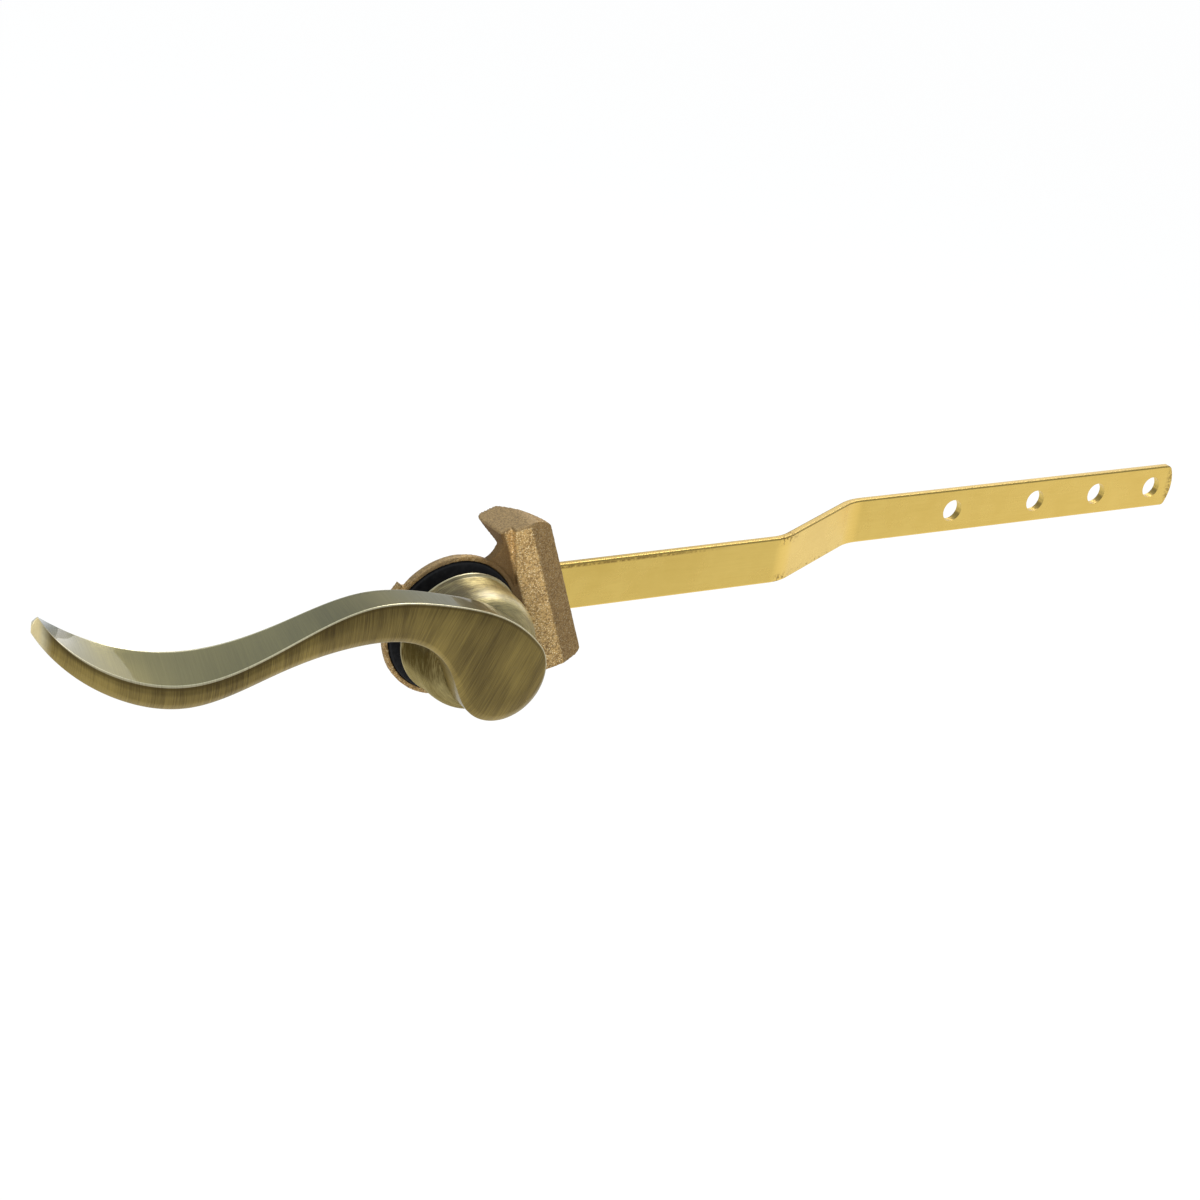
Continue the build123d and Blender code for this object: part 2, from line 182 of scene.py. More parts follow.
class Wiring:
    """A node tree that is filled from Python."""

    def __init__(self, tree: bpy.types.NodeTree) -> None:
        """Empty the tree and keep it."""
        self.tree = tree
        tree.nodes.clear()

    def node(
        self,
        kind: str,
        settings: Optional[dict[str, Any]] = None,
        sockets: Optional[dict[Union[str, int], Any]] = None,
        output: Union[str, int] = 0,
    ) -> Wire:
        """Add one node.

        Args:
            kind: The node's type.
            settings: Properties of the node, set first.
            sockets: Values or wires for its inputs, by name or index.
            output: The output to hand back, by name or index.

        Returns:
            That output, ready for more maths.
        """
        node = self.tree.nodes.new(kind)
        for key, value in (settings or {}).items():
            setattr(node, key, value)
        for key, value in (sockets or {}).items():
            plug(self.tree, node.inputs[key], value)
        return Wire(self.tree, node.outputs[output] if len(node.outputs) else node.inputs[0])

    def vector(self, x: Number, y: Number, z: Number) -> Wire:
        """Three values as one vector."""
        return self.node("ShaderNodeCombineXYZ", sockets={0: x, 1: y, 2: z})

    def axes(self, vector: Wire) -> list[Wire]:
        """A vector's three values."""
        outputs = self.node("ShaderNodeSeparateXYZ", sockets={0: vector}).socket.node.outputs
        return [Wire(self.tree, output) for output in outputs]

    def rays(self) -> list[Wire]:
        """Whether the camera looks, a glossy surface looks, or a ray passes through."""
        outputs = self.node("ShaderNodeLightPath").socket.node.outputs
        return [Wire(self.tree, outputs[f"Is {kind} Ray"]) for kind in ("Camera", "Glossy", "Transmission")]

    def rise(self, value: Wire, start: float, end: float, low: float = 0.0, high: float = 1.0) -> Wire:
        """A smooth step.

        Args:
            value: What is measured.
            start: Where the step begins.
            end: Where it ends.
            low: Result before the start.
            high: Result after the end.

        Returns:
            The stepped value.
        """
        sockets = {0: value, 1: start, 2: end, 3: low, 4: high}
        return self.node("ShaderNodeMapRange", {"interpolation_type": "SMOOTHSTEP"}, sockets)

    def band(self, value: Wire, start: float, full: float, full_end: float, end: float) -> Wire:
        """One between two limits, with soft shoulders."""
        return self.rise(value, start, full) * self.rise(value, full_end, end, 1.0, 0.0)

    def grain(self, at: Wire, scale: float, detail: float, rough: float, turn: float = 0.0) -> Wire:
        """Cloudy noise.

        Args:
            at: Where it is read.
            scale: Its fineness.
            detail: How many finer layers it has.
            rough: How strong those layers are.
            turn: How much it is distorted.

        Returns:
            A value about one half.
        """
        sockets = {"Vector": at, "Scale": scale, "Detail": detail, "Roughness": rough, "Distortion": turn}
        return self.node("ShaderNodeTexNoise", None, sockets)

    def tint(self, share: Number, first: Union[Wire, Colour], second: Union[Wire, Colour]) -> Wire:
        """Mix two colours.

        Args:
            share: How much of the second.
            first: Colour where share is 0.
            second: Colour where share is 1.

        Returns:
            The mixed colour.
        """
        settings = {"data_type": "RGBA", "clamp_factor": True}
        return self.node("ShaderNodeMix", settings, {0: share, 6: first, 7: second}, 2)

    def relief(self, height: Wire, strength: float, depth: float, under: Optional[Wire] = None) -> Wire:
        """Turn a height into a bumped normal.

        Args:
            height: Height from 0 to 1.
            strength: How strongly it shows.
            depth: How deep a full step is, in millimetres.
            under: A bumped normal that this one lies on.

        Returns:
            The normal.
        """
        sockets = {"Height": height, "Strength": strength, "Distance": depth * MM}
        if under is not None:
            sockets["Normal"] = under
        return self.node("ShaderNodeBump", None, sockets)


class Paint(Wiring):
    """The nodes of one material, with the shaded point of the piece at hand in millimetres."""

    def __init__(self, name: str) -> None:
        """Start an empty material.

        Args:
            name: The material's name.
        """
        self.material = bpy.data.materials.new(name)
        self.material.use_nodes = True
        super().__init__(self.material.node_tree)
        point = self.node("ShaderNodeTexCoord", output="Object")
        self.even = self.node("ShaderNodeVectorMath", {"operation": "SCALE"}, {0: point, "Scale": 1.0 / MM})
        self.at = self.axes(self.even)

    def facing(self) -> Wire:
        """How far the surface faces up, from -1 to 1."""
        return self.axes(self.node("ShaderNodeTexCoord", output="Normal"))[2]

    def done(self, **sockets: Any) -> Material:
        """Close the material with a Principled shader.

        Args:
            sockets: The shader's inputs, with an underscore for each space.

        Returns:
            The finished material.
        """
        named = {key.replace("_", " "): value for key, value in sockets.items()}
        shader = self.node("ShaderNodeBsdfPrincipled", None, named)
        self.node("ShaderNodeOutputMaterial", None, {"Surface": shader})
        return self.material


@dataclass(frozen=True)
class AntiqueBrass:
    """Brushed brass, darkened, rubbed back along its edges and sealed under clear lacquer."""

    name: str
    brush: Brush
    dark: Colour = (0.080, 0.050, 0.010)
    rubbed: Colour = (0.320, 0.230, 0.060)
    top_sheen_dark: Colour = (0.099, 0.083, 0.031)
    top_sheen_rubbed: Colour = (0.180, 0.151, 0.055)
    edge: Colour = (0.66, 0.58, 0.38)
    tip_tone_wear_highlight: Colour = (0.80, 0.71, 0.46)
    slanting: Colour = (1.0, 1.0, 1.0)
    roughness: float = 0.38
    uneven: float = 0.30
    coarse_marks: Grain = (0.85, 3.0, 0.6)
    fine_marks: Grain = (2.0, 2.0, 0.6)
    broad_marks: Grain = (0.09, 1.0, 0.5)
    cloud: Grain = (0.045, 2.0, 0.5)
    streaks_per_mm: float = 2.6
    streak_length: float = 14.0
    streaks_per_turn: float = 3.2
    disc_start: float = -34.0
    disc_end: float = -6.0
    disc_lean: float = 0.48
    tip_end: Span = (-110.2, -111.4)
    tip_run_wear_highlight: Span = (-108.0, -112.0)
    hub_end: Span = (-62.0, -30.0)
    thumb_painted_shade: Band = (-96.0, -84.0, -72.0, -62.0)
    neck_painted_shade: Band = (-52.0, -42.0, -30.0, -18.0)
    ridge_line: Band = (-20.33, -20.30, -20.10, -20.00)
    ridge_shade: Band = (-20.44, -20.38, -20.32, -20.29)
    back_line: Band = (-13.85, -13.65, -13.39, -13.30)
    foot_line: Band = (-0.8, -0.45, -0.1, 0.1)
    lever_shade_above: Band = (-13.0, -9.0, -5.0, -1.0)
    lever_shade_beside: Band = (-7.0, -3.0, 1.0, 5.0)
    bite: float = 0.017
    barrel: float = 0.0
    barrel_run: Span = (-11.0, 3.0)
    lacquer: float = 0.30
    lacquer_haze: float = 0.05
    lacquer_index: float = 1.6

    def brushed_place(self, paint: Paint) -> Wire:
        """A place that is drawn out along the brush marks.

        Args:
            paint: The material being made.

        Returns:
            Where the marks are read.
        """
        x, y, z = paint.at
        if self.brush is Brush.AROUND_AXIS:
            radius = (x * x + z * z) ** 0.5
            turn = self.streaks_per_turn / radius.most(0.5)
            return paint.vector(x * turn, (radius + y) * self.streaks_per_mm, z * turn)
        slow = 1.0 / self.streak_length
        lean = paint.rise(x, self.disc_start, self.disc_end, 0.0, self.disc_lean)
        return paint.vector((x - z * lean) * self.streaks_per_mm, y * slow, z * slow)

    def material(self) -> Material:
        """Make the material.

        Returns:
            The lacquered brass.
        """
        paint = Paint(self.name)
        stretched = self.brushed_place(paint)
        coarse = paint.grain(stretched, *self.coarse_marks)
        fine = paint.grain(stretched, *self.fine_marks)
        broad = paint.grain(stretched, *self.broad_marks)
        cloud = paint.grain(paint.even, *self.cloud)
        marks = coarse * 0.38 + fine * 0.62
        rub = paint.rise(marks, 0.34, 0.68) * 0.46 + paint.rise(broad, 0.34, 0.66) * 0.20
        rub = rub + paint.rise(cloud, 0.35, 0.65) * 0.34
        look = self.handle_look if self.brush is Brush.ACROSS_LEVER else self.boss_look
        colour, worn, cover, normal = look(paint, marks, rub)
        return paint.done(
            Base_Color=colour,
            Metallic=1.0,
            Roughness=self.roughness + (0.5 - marks) * self.uneven + worn,
            Normal=normal,
            Coat_Weight=cover,
            Coat_Roughness=self.lacquer_haze,
            Coat_IOR=self.lacquer_index,
            Specular_Tint=self.slanting,
        )

    def boss_look(self, paint: Paint, marks: Wire, rub: Wire) -> tuple[Wire, Wire, Wire, Wire]:
        """Paint the lever's shade and dark reflection onto the boss beside it and rub the foot bright.

        Args:
            paint: The material being made.
            marks: The brush marks.
            rub: How far the dark was rubbed back.

        Returns:
            Colour, change of roughness by wear, cover of lacquer, and normal.
        """
        x, y, z = paint.at
        # Painted shade: patches above and beside the hub, where the lever shades the boss and reflects dark
        # in it, are darkened.
        above = paint.band(x, *self.lever_shade_above) * paint.rise(z, 4.0, 9.0)
        beside = paint.band(z, *self.lever_shade_beside) * paint.rise(x, -9.0, -12.0)
        painted_lever_shade = above.most(beside)
        colour = paint.tint((rub - painted_lever_shade * 0.35).most(0.0), self.dark, self.rubbed)
        worn = paint.band(y, *self.foot_line) * paint.rise(marks, 0.25, 0.60, 0.3, 0.8)
        colour = paint.tint(worn * 0.7, colour, self.edge)
        height = paint.rise(y, *self.barrel_run) ** 2.0 * self.barrel + marks * self.bite
        cover = paint.rise(z, 0.0, 9.0, 0.0, self.lacquer)
        return colour, worn * -0.06, cover, paint.relief(height, 1.0, 1.0)

    def handle_look(self, paint: Paint, marks: Wire, rub: Wire) -> tuple[Wire, Wire, Wire, Wire]:
        """Paint a sheen on top, shade and a pale reflection on the front, rub the ridge, and rub and
        highlight the tip.

        Args:
            paint: The material being made.
            marks: The brush marks.
            rub: How far the dark was rubbed back.

        Returns:
            Colour, change of roughness by wear, cover of lacquer, and normal.
        """
        x, y, _ = paint.at
        facing = paint.facing()
        end = paint.rise(x, *self.tip_end)
        # Painted sheen: faces that look up take a paler, duller brass tone that fades near the hub; the
        # same share also thickens the lacquer.
        upper = paint.rise(facing, 0.30, 0.70) * (1.0 - end)
        near_hub = paint.rise(x, *self.hub_end)
        painted_top_sheen = paint.tint((rub * 0.6 + 0.2 - near_hub * 0.5).most(0.0), self.top_sheen_dark, self.top_sheen_rubbed)
        # Painted shade: the front is darkened at the thumb, at the neck and where it tilts up, and faces
        # that tilt down get paler as a painted reflection.
        painted_shade_bands = paint.band(x, *self.thumb_painted_shade) * 0.22 + paint.band(x, *self.neck_painted_shade) * 0.15
        rub_and_painted_shade = (rub - facing * 0.8 - painted_shade_bands).most(0.0).least(1.0)
        colour = paint.tint(upper, paint.tint(rub_and_painted_shade, self.dark, self.rubbed), painted_top_sheen)
        shaded = paint.band(y, *self.ridge_shade) * paint.rise(facing, 0.03, 0.12)
        colour = paint.tint(shaded * 0.6, colour, self.dark)
        ridge = paint.band(y, *self.ridge_line) * paint.rise(facing, -0.1, 0.15) * 0.85
        back = paint.band(y, *self.back_line) * 0.6
        # The pale tip is partly wear and partly a painted highlight, and the end face is painted brighter
        # as a highlight.
        tip = (paint.rise(x, *self.tip_run_wear_highlight) * paint.rise(facing, 0.35, 0.05)).most(end)
        worn = ridge.most(back) * paint.rise(marks, 0.25, 0.60, 0.5, 1.0)
        colour = paint.tint(tip, paint.tint(worn, colour, self.edge), self.tip_tone_wear_highlight)
        colour = paint.tint(end * 0.3, colour, self.rubbed)
        cover = self.lacquer + upper * (1.0 - self.lacquer) * (1.0 - near_hub * 0.5)
        return colour, end * 0.40 - worn * 0.06, cover, paint.relief(marks, 1.0, self.bite)


@dataclass(frozen=True)
class YellowBrass:
    """Drawn yellow brass strip, with the dark marks of the bending tools."""

    name: str = "yellow_brass_strip"
    bright: Colour = (0.840, 0.600, 0.165)
    dull: Colour = (0.740, 0.510, 0.125)
    tarnish: Colour = (0.170, 0.095, 0.030)
    sheared: Colour = (0.300, 0.205, 0.062)
    roughness: float = 0.27
    draw_out: float = 0.05
    lines: Grain = (2.4, 3.0, 0.6)
    cloud: Grain = (0.10, 3.0, 0.55)
    pits: Grain = (1.7, 2.0, 0.6)
    spots: Grain = (1.1, 3.0, 0.65)
    reach: float = 258.0
    half_width: float = 6.35
    bend: Band = (101.4, 104.4, 106.9, 112.9)
    slope: Band = (110.9, 114.9, 126.9, 138.6)
    shear_height: Band = (5.0, 5.55, 5.75, 6.15)
    shear_run: Band = (10.0, 22.0, 62.0, 92.0)

    def tool_marks(self, paint: Paint, fine: Wire) -> Wire:
        """Where the bending tools and the shears darkened the strip.

        Args:
            paint: The material being made.
            fine: A fine grain that breaks the marks up.

        Returns:
            A mask from 0 to 1.
        """
        x, _, z = paint.at
        edges = paint.rise(abs(z), self.half_width * 0.52, self.half_width * 0.9)
        creases = paint.band(x, *self.bend) * edges * paint.rise(fine, 0.50, 0.62)
        scuffs = paint.band(x, *self.slope) * paint.rise(z, -3.6, -6.0) * paint.rise(fine, 0.54, 0.66)
        tip = paint.rise(x, self.reach - 3.0, self.reach - 0.6) * paint.rise(fine, 0.40, 0.60) * 0.8
        shear = paint.band(z, *self.shear_height) * paint.band(x, *self.shear_run)
        return creases.most(scuffs).most(tip).most(shear * paint.rise(fine, 0.30, 0.58)).least(1.0)

    def material(self) -> Material:
        """Make the material.

        Returns:
            The drawn strip's brass.
        """
        paint = Paint(self.name)
        x, y, z = paint.at
        lines = paint.grain(paint.vector(x * self.draw_out, y * self.draw_out, z), *self.lines)
        cloud = paint.grain(paint.even, *self.cloud)
        pits = paint.grain(paint.even, *self.pits)
        colour = paint.tint(paint.rise(lines * 0.35 + cloud * 0.65, 0.20, 0.80), self.dull, self.bright)
        marks = self.tool_marks(paint, paint.grain(paint.even, *self.spots))
        cut = paint.rise(paint.facing(), 0.10, 0.50)
        colour = paint.tint(cut * 0.9, colour, self.sheared)
        colour = paint.tint(marks * 0.75, colour, self.tarnish)
        rough = self.roughness + (cloud - 0.5) * 0.12 + marks * 0.25 + cut * 0.15
        normal = paint.relief(pits, 0.15, 0.006, paint.relief(lines, 0.20, 0.006))
        return paint.done(Base_Color=colour, Metallic=1.0, Roughness=rough, Normal=normal)


@dataclass(frozen=True)
class CastBronze:
    """Sand-cast bronze as it leaves the mould, with one end ground flat."""

    name: str = "sand_cast_bronze"
    pit: Colour = (0.270, 0.160, 0.060)
    skin: Colour = (0.640, 0.415, 0.162)
    glint_tone: Colour = (1.000, 0.860, 0.560)
    ground: Colour = (0.170, 0.118, 0.066)
    bronze_shade_tone: Colour = (0.150, 0.085, 0.030)
    roughness: float = 0.60
    metal: float = 0.45
    gloss: float = 0.25
    sand: Grain = (2.2, 3.0, 0.62)
    lumps: Grain = (0.55, 2.0, 0.5)
    flecks_per_mm: float = 2.6
    end_lean: float = 21.5
    end_height: float = 17.2
    web_end: Span = (19.5, 18.7)
    far_face: Span = (24.7, 25.4)

    def material(self) -> Material:
        """Make the material.

        Returns:
            The casting's bronze.
        """
        paint = Paint(self.name)
        x, _, z = paint.at
        sand = paint.grain(paint.even, *self.sand)
        lumps = paint.grain(paint.even, *self.lumps)
        grains = {"Vector": paint.even, "Scale": self.flecks_per_mm}
        flecks = paint.node("ShaderNodeTexVoronoi", {"feature": "F1"}, grains, "Distance")
        # Painted glints: tiny bright specks in the colour stand for sparkle off the cast skin.
        glint = paint.rise(flecks, 0.42, 0.14) * paint.rise(sand, 0.40, 0.55)
        body = paint.tint(paint.rise(sand * 0.75 + lumps * 0.25, 0.34, 0.60), self.pit, self.skin)
        rough_skin = paint.tint(glint, body, self.glint_tone)
        smooth_skin = paint.tint(paint.rise(sand, 0.2, 0.8) * 0.4, self.ground, self.skin)
        lean = math.radians(self.end_lean)
        up = z * math.cos(lean) - x * math.sin(lean)
        along = x * math.cos(lean) + z * math.sin(lean)
        cut = paint.rise(up, self.end_height - 0.9, self.end_height - 0.45)
        colour = paint.tint(cut * 0.92, rough_skin, smooth_skin)
        # Painted shade: the recess beside the wing and the wing's outer face beyond its ridge are darkened,
        # except on the ground end.
        web = paint.rise(along, *self.web_end) * paint.rise(x, 2.0, 9.0, 0.45, 0.95)
        bronze_painted_shade = web + paint.rise(along, *self.far_face) * 0.66
        colour = paint.tint(bronze_painted_shade * (1.0 - cut), colour, self.bronze_shade_tone)
        rough = self.roughness + (0.5 - sand) * 0.25 - glint * 0.12
        height = (sand + flecks * 0.35) * (1.0 - cut * 0.75)
        normal = paint.relief(height, 0.85, 0.28, paint.relief(lumps, 0.35, 0.20))
        return paint.done(
            Base_Color=colour,
            Metallic=self.metal,
            Roughness=rough,
            Normal=normal,
            Specular_IOR_Level=self.gloss,
        )


@dataclass(frozen=True)
class TurnedBrass:
    """Bare brass with the rings that a lathe leaves."""

    name: str
    light: Colour = (0.66, 0.47, 0.16)
    deep: Colour = (0.44, 0.29, 0.085)
    roughness: float = 0.30
    rings_per_mm: float = 3.0
    rings: Grain = (1.6, 2.0, 0.6)
    cloud: Grain = (0.25, 3.0, 0.55)

    def material(self) -> Material:
        """Make the material.

        Returns:
            The turned brass.
        """
        paint = Paint(self.name)
        x, y, z = paint.at
        radius = (x * x + z * z) ** 0.5
        feed = paint.vector(radius * self.rings_per_mm, y * self.rings_per_mm, 0.0)
        rings = paint.grain(feed, *self.rings)
        cloud = paint.grain(paint.even, *self.cloud)
        colour = paint.tint(paint.rise(rings * 0.5 + cloud * 0.5, 0.32, 0.66), self.deep, self.light)
        rough = self.roughness + (cloud - 0.5) * 0.2
        return paint.done(
            Base_Color=colour, Metallic=1.0, Roughness=rough, Normal=paint.relief(rings, 0.35, 0.02)
        )


@dataclass(frozen=True)
class Mottled:
    """A plain finish of two tones that run into each other, with a fine skin."""

    name: str
    first: Colour
    second: Colour
    change: Span
    cloud: Grain
    skin: Grain
    relief: Pair
    roughness: float
    uneven: float
    scuffed: bool = False
    metal: float = 0.0
    gloss: float = 0.5

    def material(self) -> Material:
        """Make the material.

        Returns:
            The mottled finish, rough by its skin where it is scuffed and by its clouds otherwise.
        """
        paint = Paint(self.name)
        cloud = paint.grain(paint.even, *self.cloud)
        skin = paint.grain(paint.even, *self.skin)
        return paint.done(
            Base_Color=paint.tint(paint.rise(cloud, *self.change), self.first, self.second),
            Metallic=self.metal,
            Roughness=self.roughness + ((skin if self.scuffed else cloud) - 0.5) * self.uneven,
            Normal=paint.relief(skin, *self.relief),
            Specular_IOR_Level=self.gloss,
        )


@dataclass(frozen=True)
class BlackRubber(Mottled):
    """Moulded black rubber with a dusty bloom."""

    name: str = "black_rubber"
    first: Colour = (0.005, 0.005, 0.006)
    second: Colour = (0.012, 0.012, 0.013)
    change: Span = (0.40, 0.72)
    cloud: Grain = (0.6, 4.0, 0.65, 0.0)
    skin: Grain = (3.0, 2.0, 0.5)
    relief: Pair = (0.25, 0.05)
    roughness: float = 0.65
    uneven: float = 0.2
    gloss: float = 0.16


@dataclass(frozen=True)
class PalePlastic(Mottled):
    """Natural moulded plastic, slightly milky."""

    name: str = "pale_plastic"
    first: Colour = (0.70, 0.72, 0.70)
    second: Colour = (0.56, 0.58, 0.57)
    change: Span = (0.3, 0.7)
    cloud: Grain = (0.35, 2.0, 0.5, 0.6)
    skin: Grain = (2.5, 2.0, 0.5)
    relief: Pair = (0.12, 0.03)
    roughness: float = 0.32
    uneven: float = 0.15


@dataclass(frozen=True)
class ScrewSteel(Mottled):
    """Zinc-plated steel with a faint yellow passivation."""

    name: str = "plated_screw_steel"
    first: Colour = (0.60, 0.60, 0.58)
    second: Colour = (0.46, 0.43, 0.35)
    change: Span = (0.38, 0.66)
    cloud: Grain = (0.45, 4.0, 0.6, 0.0)
    skin: Grain = (2.4, 3.0, 0.6)
    relief: Pair = (0.25, 0.02)
    roughness: float = 0.30
    uneven: float = 0.25
    scuffed: bool = True
    metal: float = 1.0


class Shop:
    """Small mesh jobs that the sub-assemblies share."""

    @staticmethod
    def show(name: str, mesh: bpy.types.Mesh) -> Piece:
        """Put a mesh into the scene.

        Args:
            name: Name of the piece.
            mesh: Its mesh.

        Returns:
            The new object.
        """
        part = bpy.data.objects.new(name, mesh)
        bpy.context.scene.collection.objects.link(part)
        return part

    @staticmethod
    def mend(source: bpy.types.Mesh, target: bpy.types.Mesh, join: float = 1e-7, flat: float = 0.0) -> None:
        """Join doubled corners, make flat faces whole and turn all faces outward.

        Args:
            source: The mesh as it is.
            target: The mesh that takes the result.
            join: Corners nearer than this, in metres, become one.
            flat: Faces that meet at less than this angle, in degrees, become one.
        """
        work = bmesh.new()
        work.from_mesh(source)
        bmesh.ops.remove_doubles(work, verts=work.verts, dist=join)
        if flat > 0:
            limit = math.radians(flat)
            bmesh.ops.dissolve_limit(
                work, angle_limit=limit, verts=work.verts, edges=work.edges, delimit=set()
            )
        bmesh.ops.recalc_face_normals(work, faces=work.faces)
        work.to_mesh(target)
        work.free()

    @staticmethod
    def piece(name: str, points: Sequence[Sequence[float]], faces: Sequence[Sequence[int]]) -> Piece:
        """Make a mesh object.

        Args:
            name: Name of the piece.
            points: Its corners in millimetres.
            faces: Its faces as lists of corner numbers.

        Returns:
            The new object, its faces turned outward.
        """
        mesh = bpy.data.meshes.new(name)
        mesh.from_pydata((np.array(points, float) * MM).tolist(), [], faces)
        mesh.validate()
        Shop.mend(mesh, mesh)
        return Shop.show(name, mesh)

    @staticmethod
    def walls(rows: int, count: int, closed: bool = False) -> list[tuple[int, ...]]:
        """Faces between rings of points.

        Args:
            rows: How many rings follow each other.
            count: How many points each ring has.
            closed: Join the last ring to the first.

        Returns:
            The faces as corner numbers.
        """
        faces: list[tuple[int, ...]] = []
        for row in range(rows if closed else rows - 1):
            below, above = row * count, (row + 1) % rows * count
            for step in range(count):
                beside = (step + 1) % count
                faces.append((below + step, below + beside, above + beside, above + step))
        return faces

    @staticmethod
    def sweep(name: str, rings: Sequence[Sequence[Point]]) -> Piece:
        """Skin a row of rings and close both of its ends.

        Args:
            name: Name of the piece.
            rings: Rings of equally many points.

        Returns:
            The closed piece.
        """
        rows, count = len(rings), len(rings[0])
        ends = [tuple(range(count)), tuple(range((rows - 1) * count, rows * count))]
        return Shop.piece(name, np.vstack(rings), Shop.walls(rows, count) + ends)

    @staticmethod
    def lathe(
        name: str,
        profile: Sequence[Pair],
        segments: int,
        cut: Callable[[int, float, float], float] = lambda row, y, angle: 0.0,
    ) -> Piece:
        """Turn a closed half section about the spindle axis.

        Args:
            name: Name of the piece.
            profile: (radius, y) corners of the closed section.
            segments: Steps round the axis.
            cut: How far the radius is cut back, from a corner's number, y and angle.

        Returns:
            The turned piece.
        """
        points = []
        for row, (radius, y) in enumerate(profile):
            for step in range(segments):
                angle = 2 * math.pi * step / segments
                here = radius - cut(row, y, angle)
                points.append((here * math.cos(angle), y, here * math.sin(angle)))
        return Shop.piece(name, points, Shop.walls(len(profile), segments, closed=True))

    @staticmethod
    def rod(name: str, radius: float, front: float, back: float, segments: int) -> Piece:
        """A round rod on the spindle axis, with a hair-thin core."""
        core = 0.01
        return Shop.lathe(name, [(core, front), (radius, front), (radius, back), (core, back)], segments)

    @staticmethod
    def rounded(corners: Sequence[Point], steps: int = 5) -> list[Pair]:
        """Round the corners of a closed section.

        Args:
            corners: (radius, y, rounding) of each corner.
            steps: Points on each rounding.

        Returns:
            The (radius, y) points of the rounded section.
        """
        found: list[Pair] = []
        for index, (r, y, size) in enumerate(corners):
            if size <= 0:
                found.append((r, y))
                continue
            here = np.array((r, y))
            before = np.array(corners[index - 1][:2]) - here
            after = np.array(corners[(index + 1) % len(corners)][:2]) - here
            before = before / np.linalg.norm(before)
            after = after / np.linalg.norm(after)
            half = 0.5 * math.acos(float(np.clip(before @ after, -1, 1)))
            reach = size / math.tan(half)
            middle = here + (before + after) / np.linalg.norm(before + after) * size / math.sin(half)
            first, last = here + before * reach - middle, here + after * reach - middle
            sweep = math.pi - 2 * half
            for step in range(steps + 1):
                turn = sweep * step / steps
                spot = (math.sin(sweep - turn) * first + math.sin(turn) * last) / math.sin(sweep) + middle
                found.append((float(spot[0]), float(spot[1])))
        return found

    @staticmethod
    def settle(part: Piece) -> Piece:
        """Make an object's modifiers part of its mesh.

        Args:
            part: The object with modifiers.

        Returns:
            The same object with none left.
        """
        bpy.context.view_layer.update()
        graph = bpy.context.evaluated_depsgraph_get()
        made = bpy.data.meshes.new_from_object(part.evaluated_get(graph))
        old = part.data
        part.modifiers.clear()
        part.data = made
        made.name = part.name
        bpy.data.meshes.remove(old)
        return part

    @staticmethod
    def cut(part: Piece, tool: Piece, keep_inside: bool = False) -> None:
        """Cut a piece with a tool and throw the tool away.

        Args:
            part: The piece.
            tool: A closed mesh.
            keep_inside: Keep what is inside the tool instead of what is outside.
        """
        cutter = part.modifiers.new("cut", "BOOLEAN")
        cutter.operation = "INTERSECT" if keep_inside else "DIFFERENCE"
        cutter.solver = "EXACT"
        cutter.object = tool
        Shop.settle(part)
        bpy.data.objects.remove(tool)

    @staticmethod
    def copy_of(node: str, name: str) -> Piece:
        """A new piece with the shape of a CAD node.

        Args:
            node: The CAD node.
            name: Name of the piece.

        Returns:
            The piece, its corners joined and its flat faces whole.
        """
        mesh = bpy.data.meshes.new(name)
        Shop.mend(bpy.data.objects[node].data, mesh, join=2e-6, flat=0.4)
        return Shop.show(name, mesh)

    @staticmethod
    def soften(part: Piece, width: float, angle: float = 30.0) -> Piece:
        """Break the sharp edges of a piece.

        Args:
            part: The piece.
            width: Width of the broken edge in millimetres.
            angle: Edges that turn less than this stay as they are.

        Returns:
            The same piece.
        """
        edge = part.modifiers.new("broken_edges", "BEVEL")
        edge.width = width * MM
        edge.segments = 3
        edge.limit_method = "ANGLE"
        edge.angle_limit = math.radians(angle)
        return Shop.settle(part)

    @staticmethod
    def shade(part: Piece, angle: float = 32.0) -> Piece:
        """Shade a piece smooth, with its true corners kept sharp.

        Args:
            part: The piece.
            angle: Edges that turn more than this stay sharp.

        Returns:
            The same piece.
        """
        part.data.shade_smooth()
        part.data.set_sharp_from_angle(angle=math.radians(angle))
        weigh = part.modifiers.new("even_shading", "WEIGHTED_NORMAL")
        weigh.keep_sharp = True
        return part

    @staticmethod
    def hand_over(part: Piece, node: str, body: Body, slot: Slot, *finishes: Material) -> Piece:
        """Dress a piece and put it in the place of its CAD node.

        Args:
            part: The piece.
            node: The CAD node that it stands for.
            body: The body that it moves with.
            slot: The record's finish; not used.
            finishes: Its materials, in slot order.

        Returns:
            The same piece.
        """
        part.data.materials.clear()
        for finish in finishes:
            part.data.materials.append(finish)
        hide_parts(node)
        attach(part, body.value)
        faces = len(part.data.polygons)
        LOG.info("%s stands for %s on %s, %d faces", part.name, node, body.value, faces)
        return part

    @staticmethod
    def turning(node: str, name: str, edge: float, slot: Slot, finish: Material) -> None:
        """Copy a small CAD node of the lever, break its edges and dress it.

        Args:
            node: The CAD node.
            name: Name of the piece.
            edge: Width of its broken edges.
            slot: The record's finish.
            finish: Its material.
        """
        part = Shop.shade(Shop.soften(Shop.copy_of(node, name), edge))
        Shop.hand_over(part, node, Body.LEVER, slot, finish)


def clamp(value: float) -> float:
    """Keep a share between 0 and 1."""
    return min(1.0, max(0.0, value))


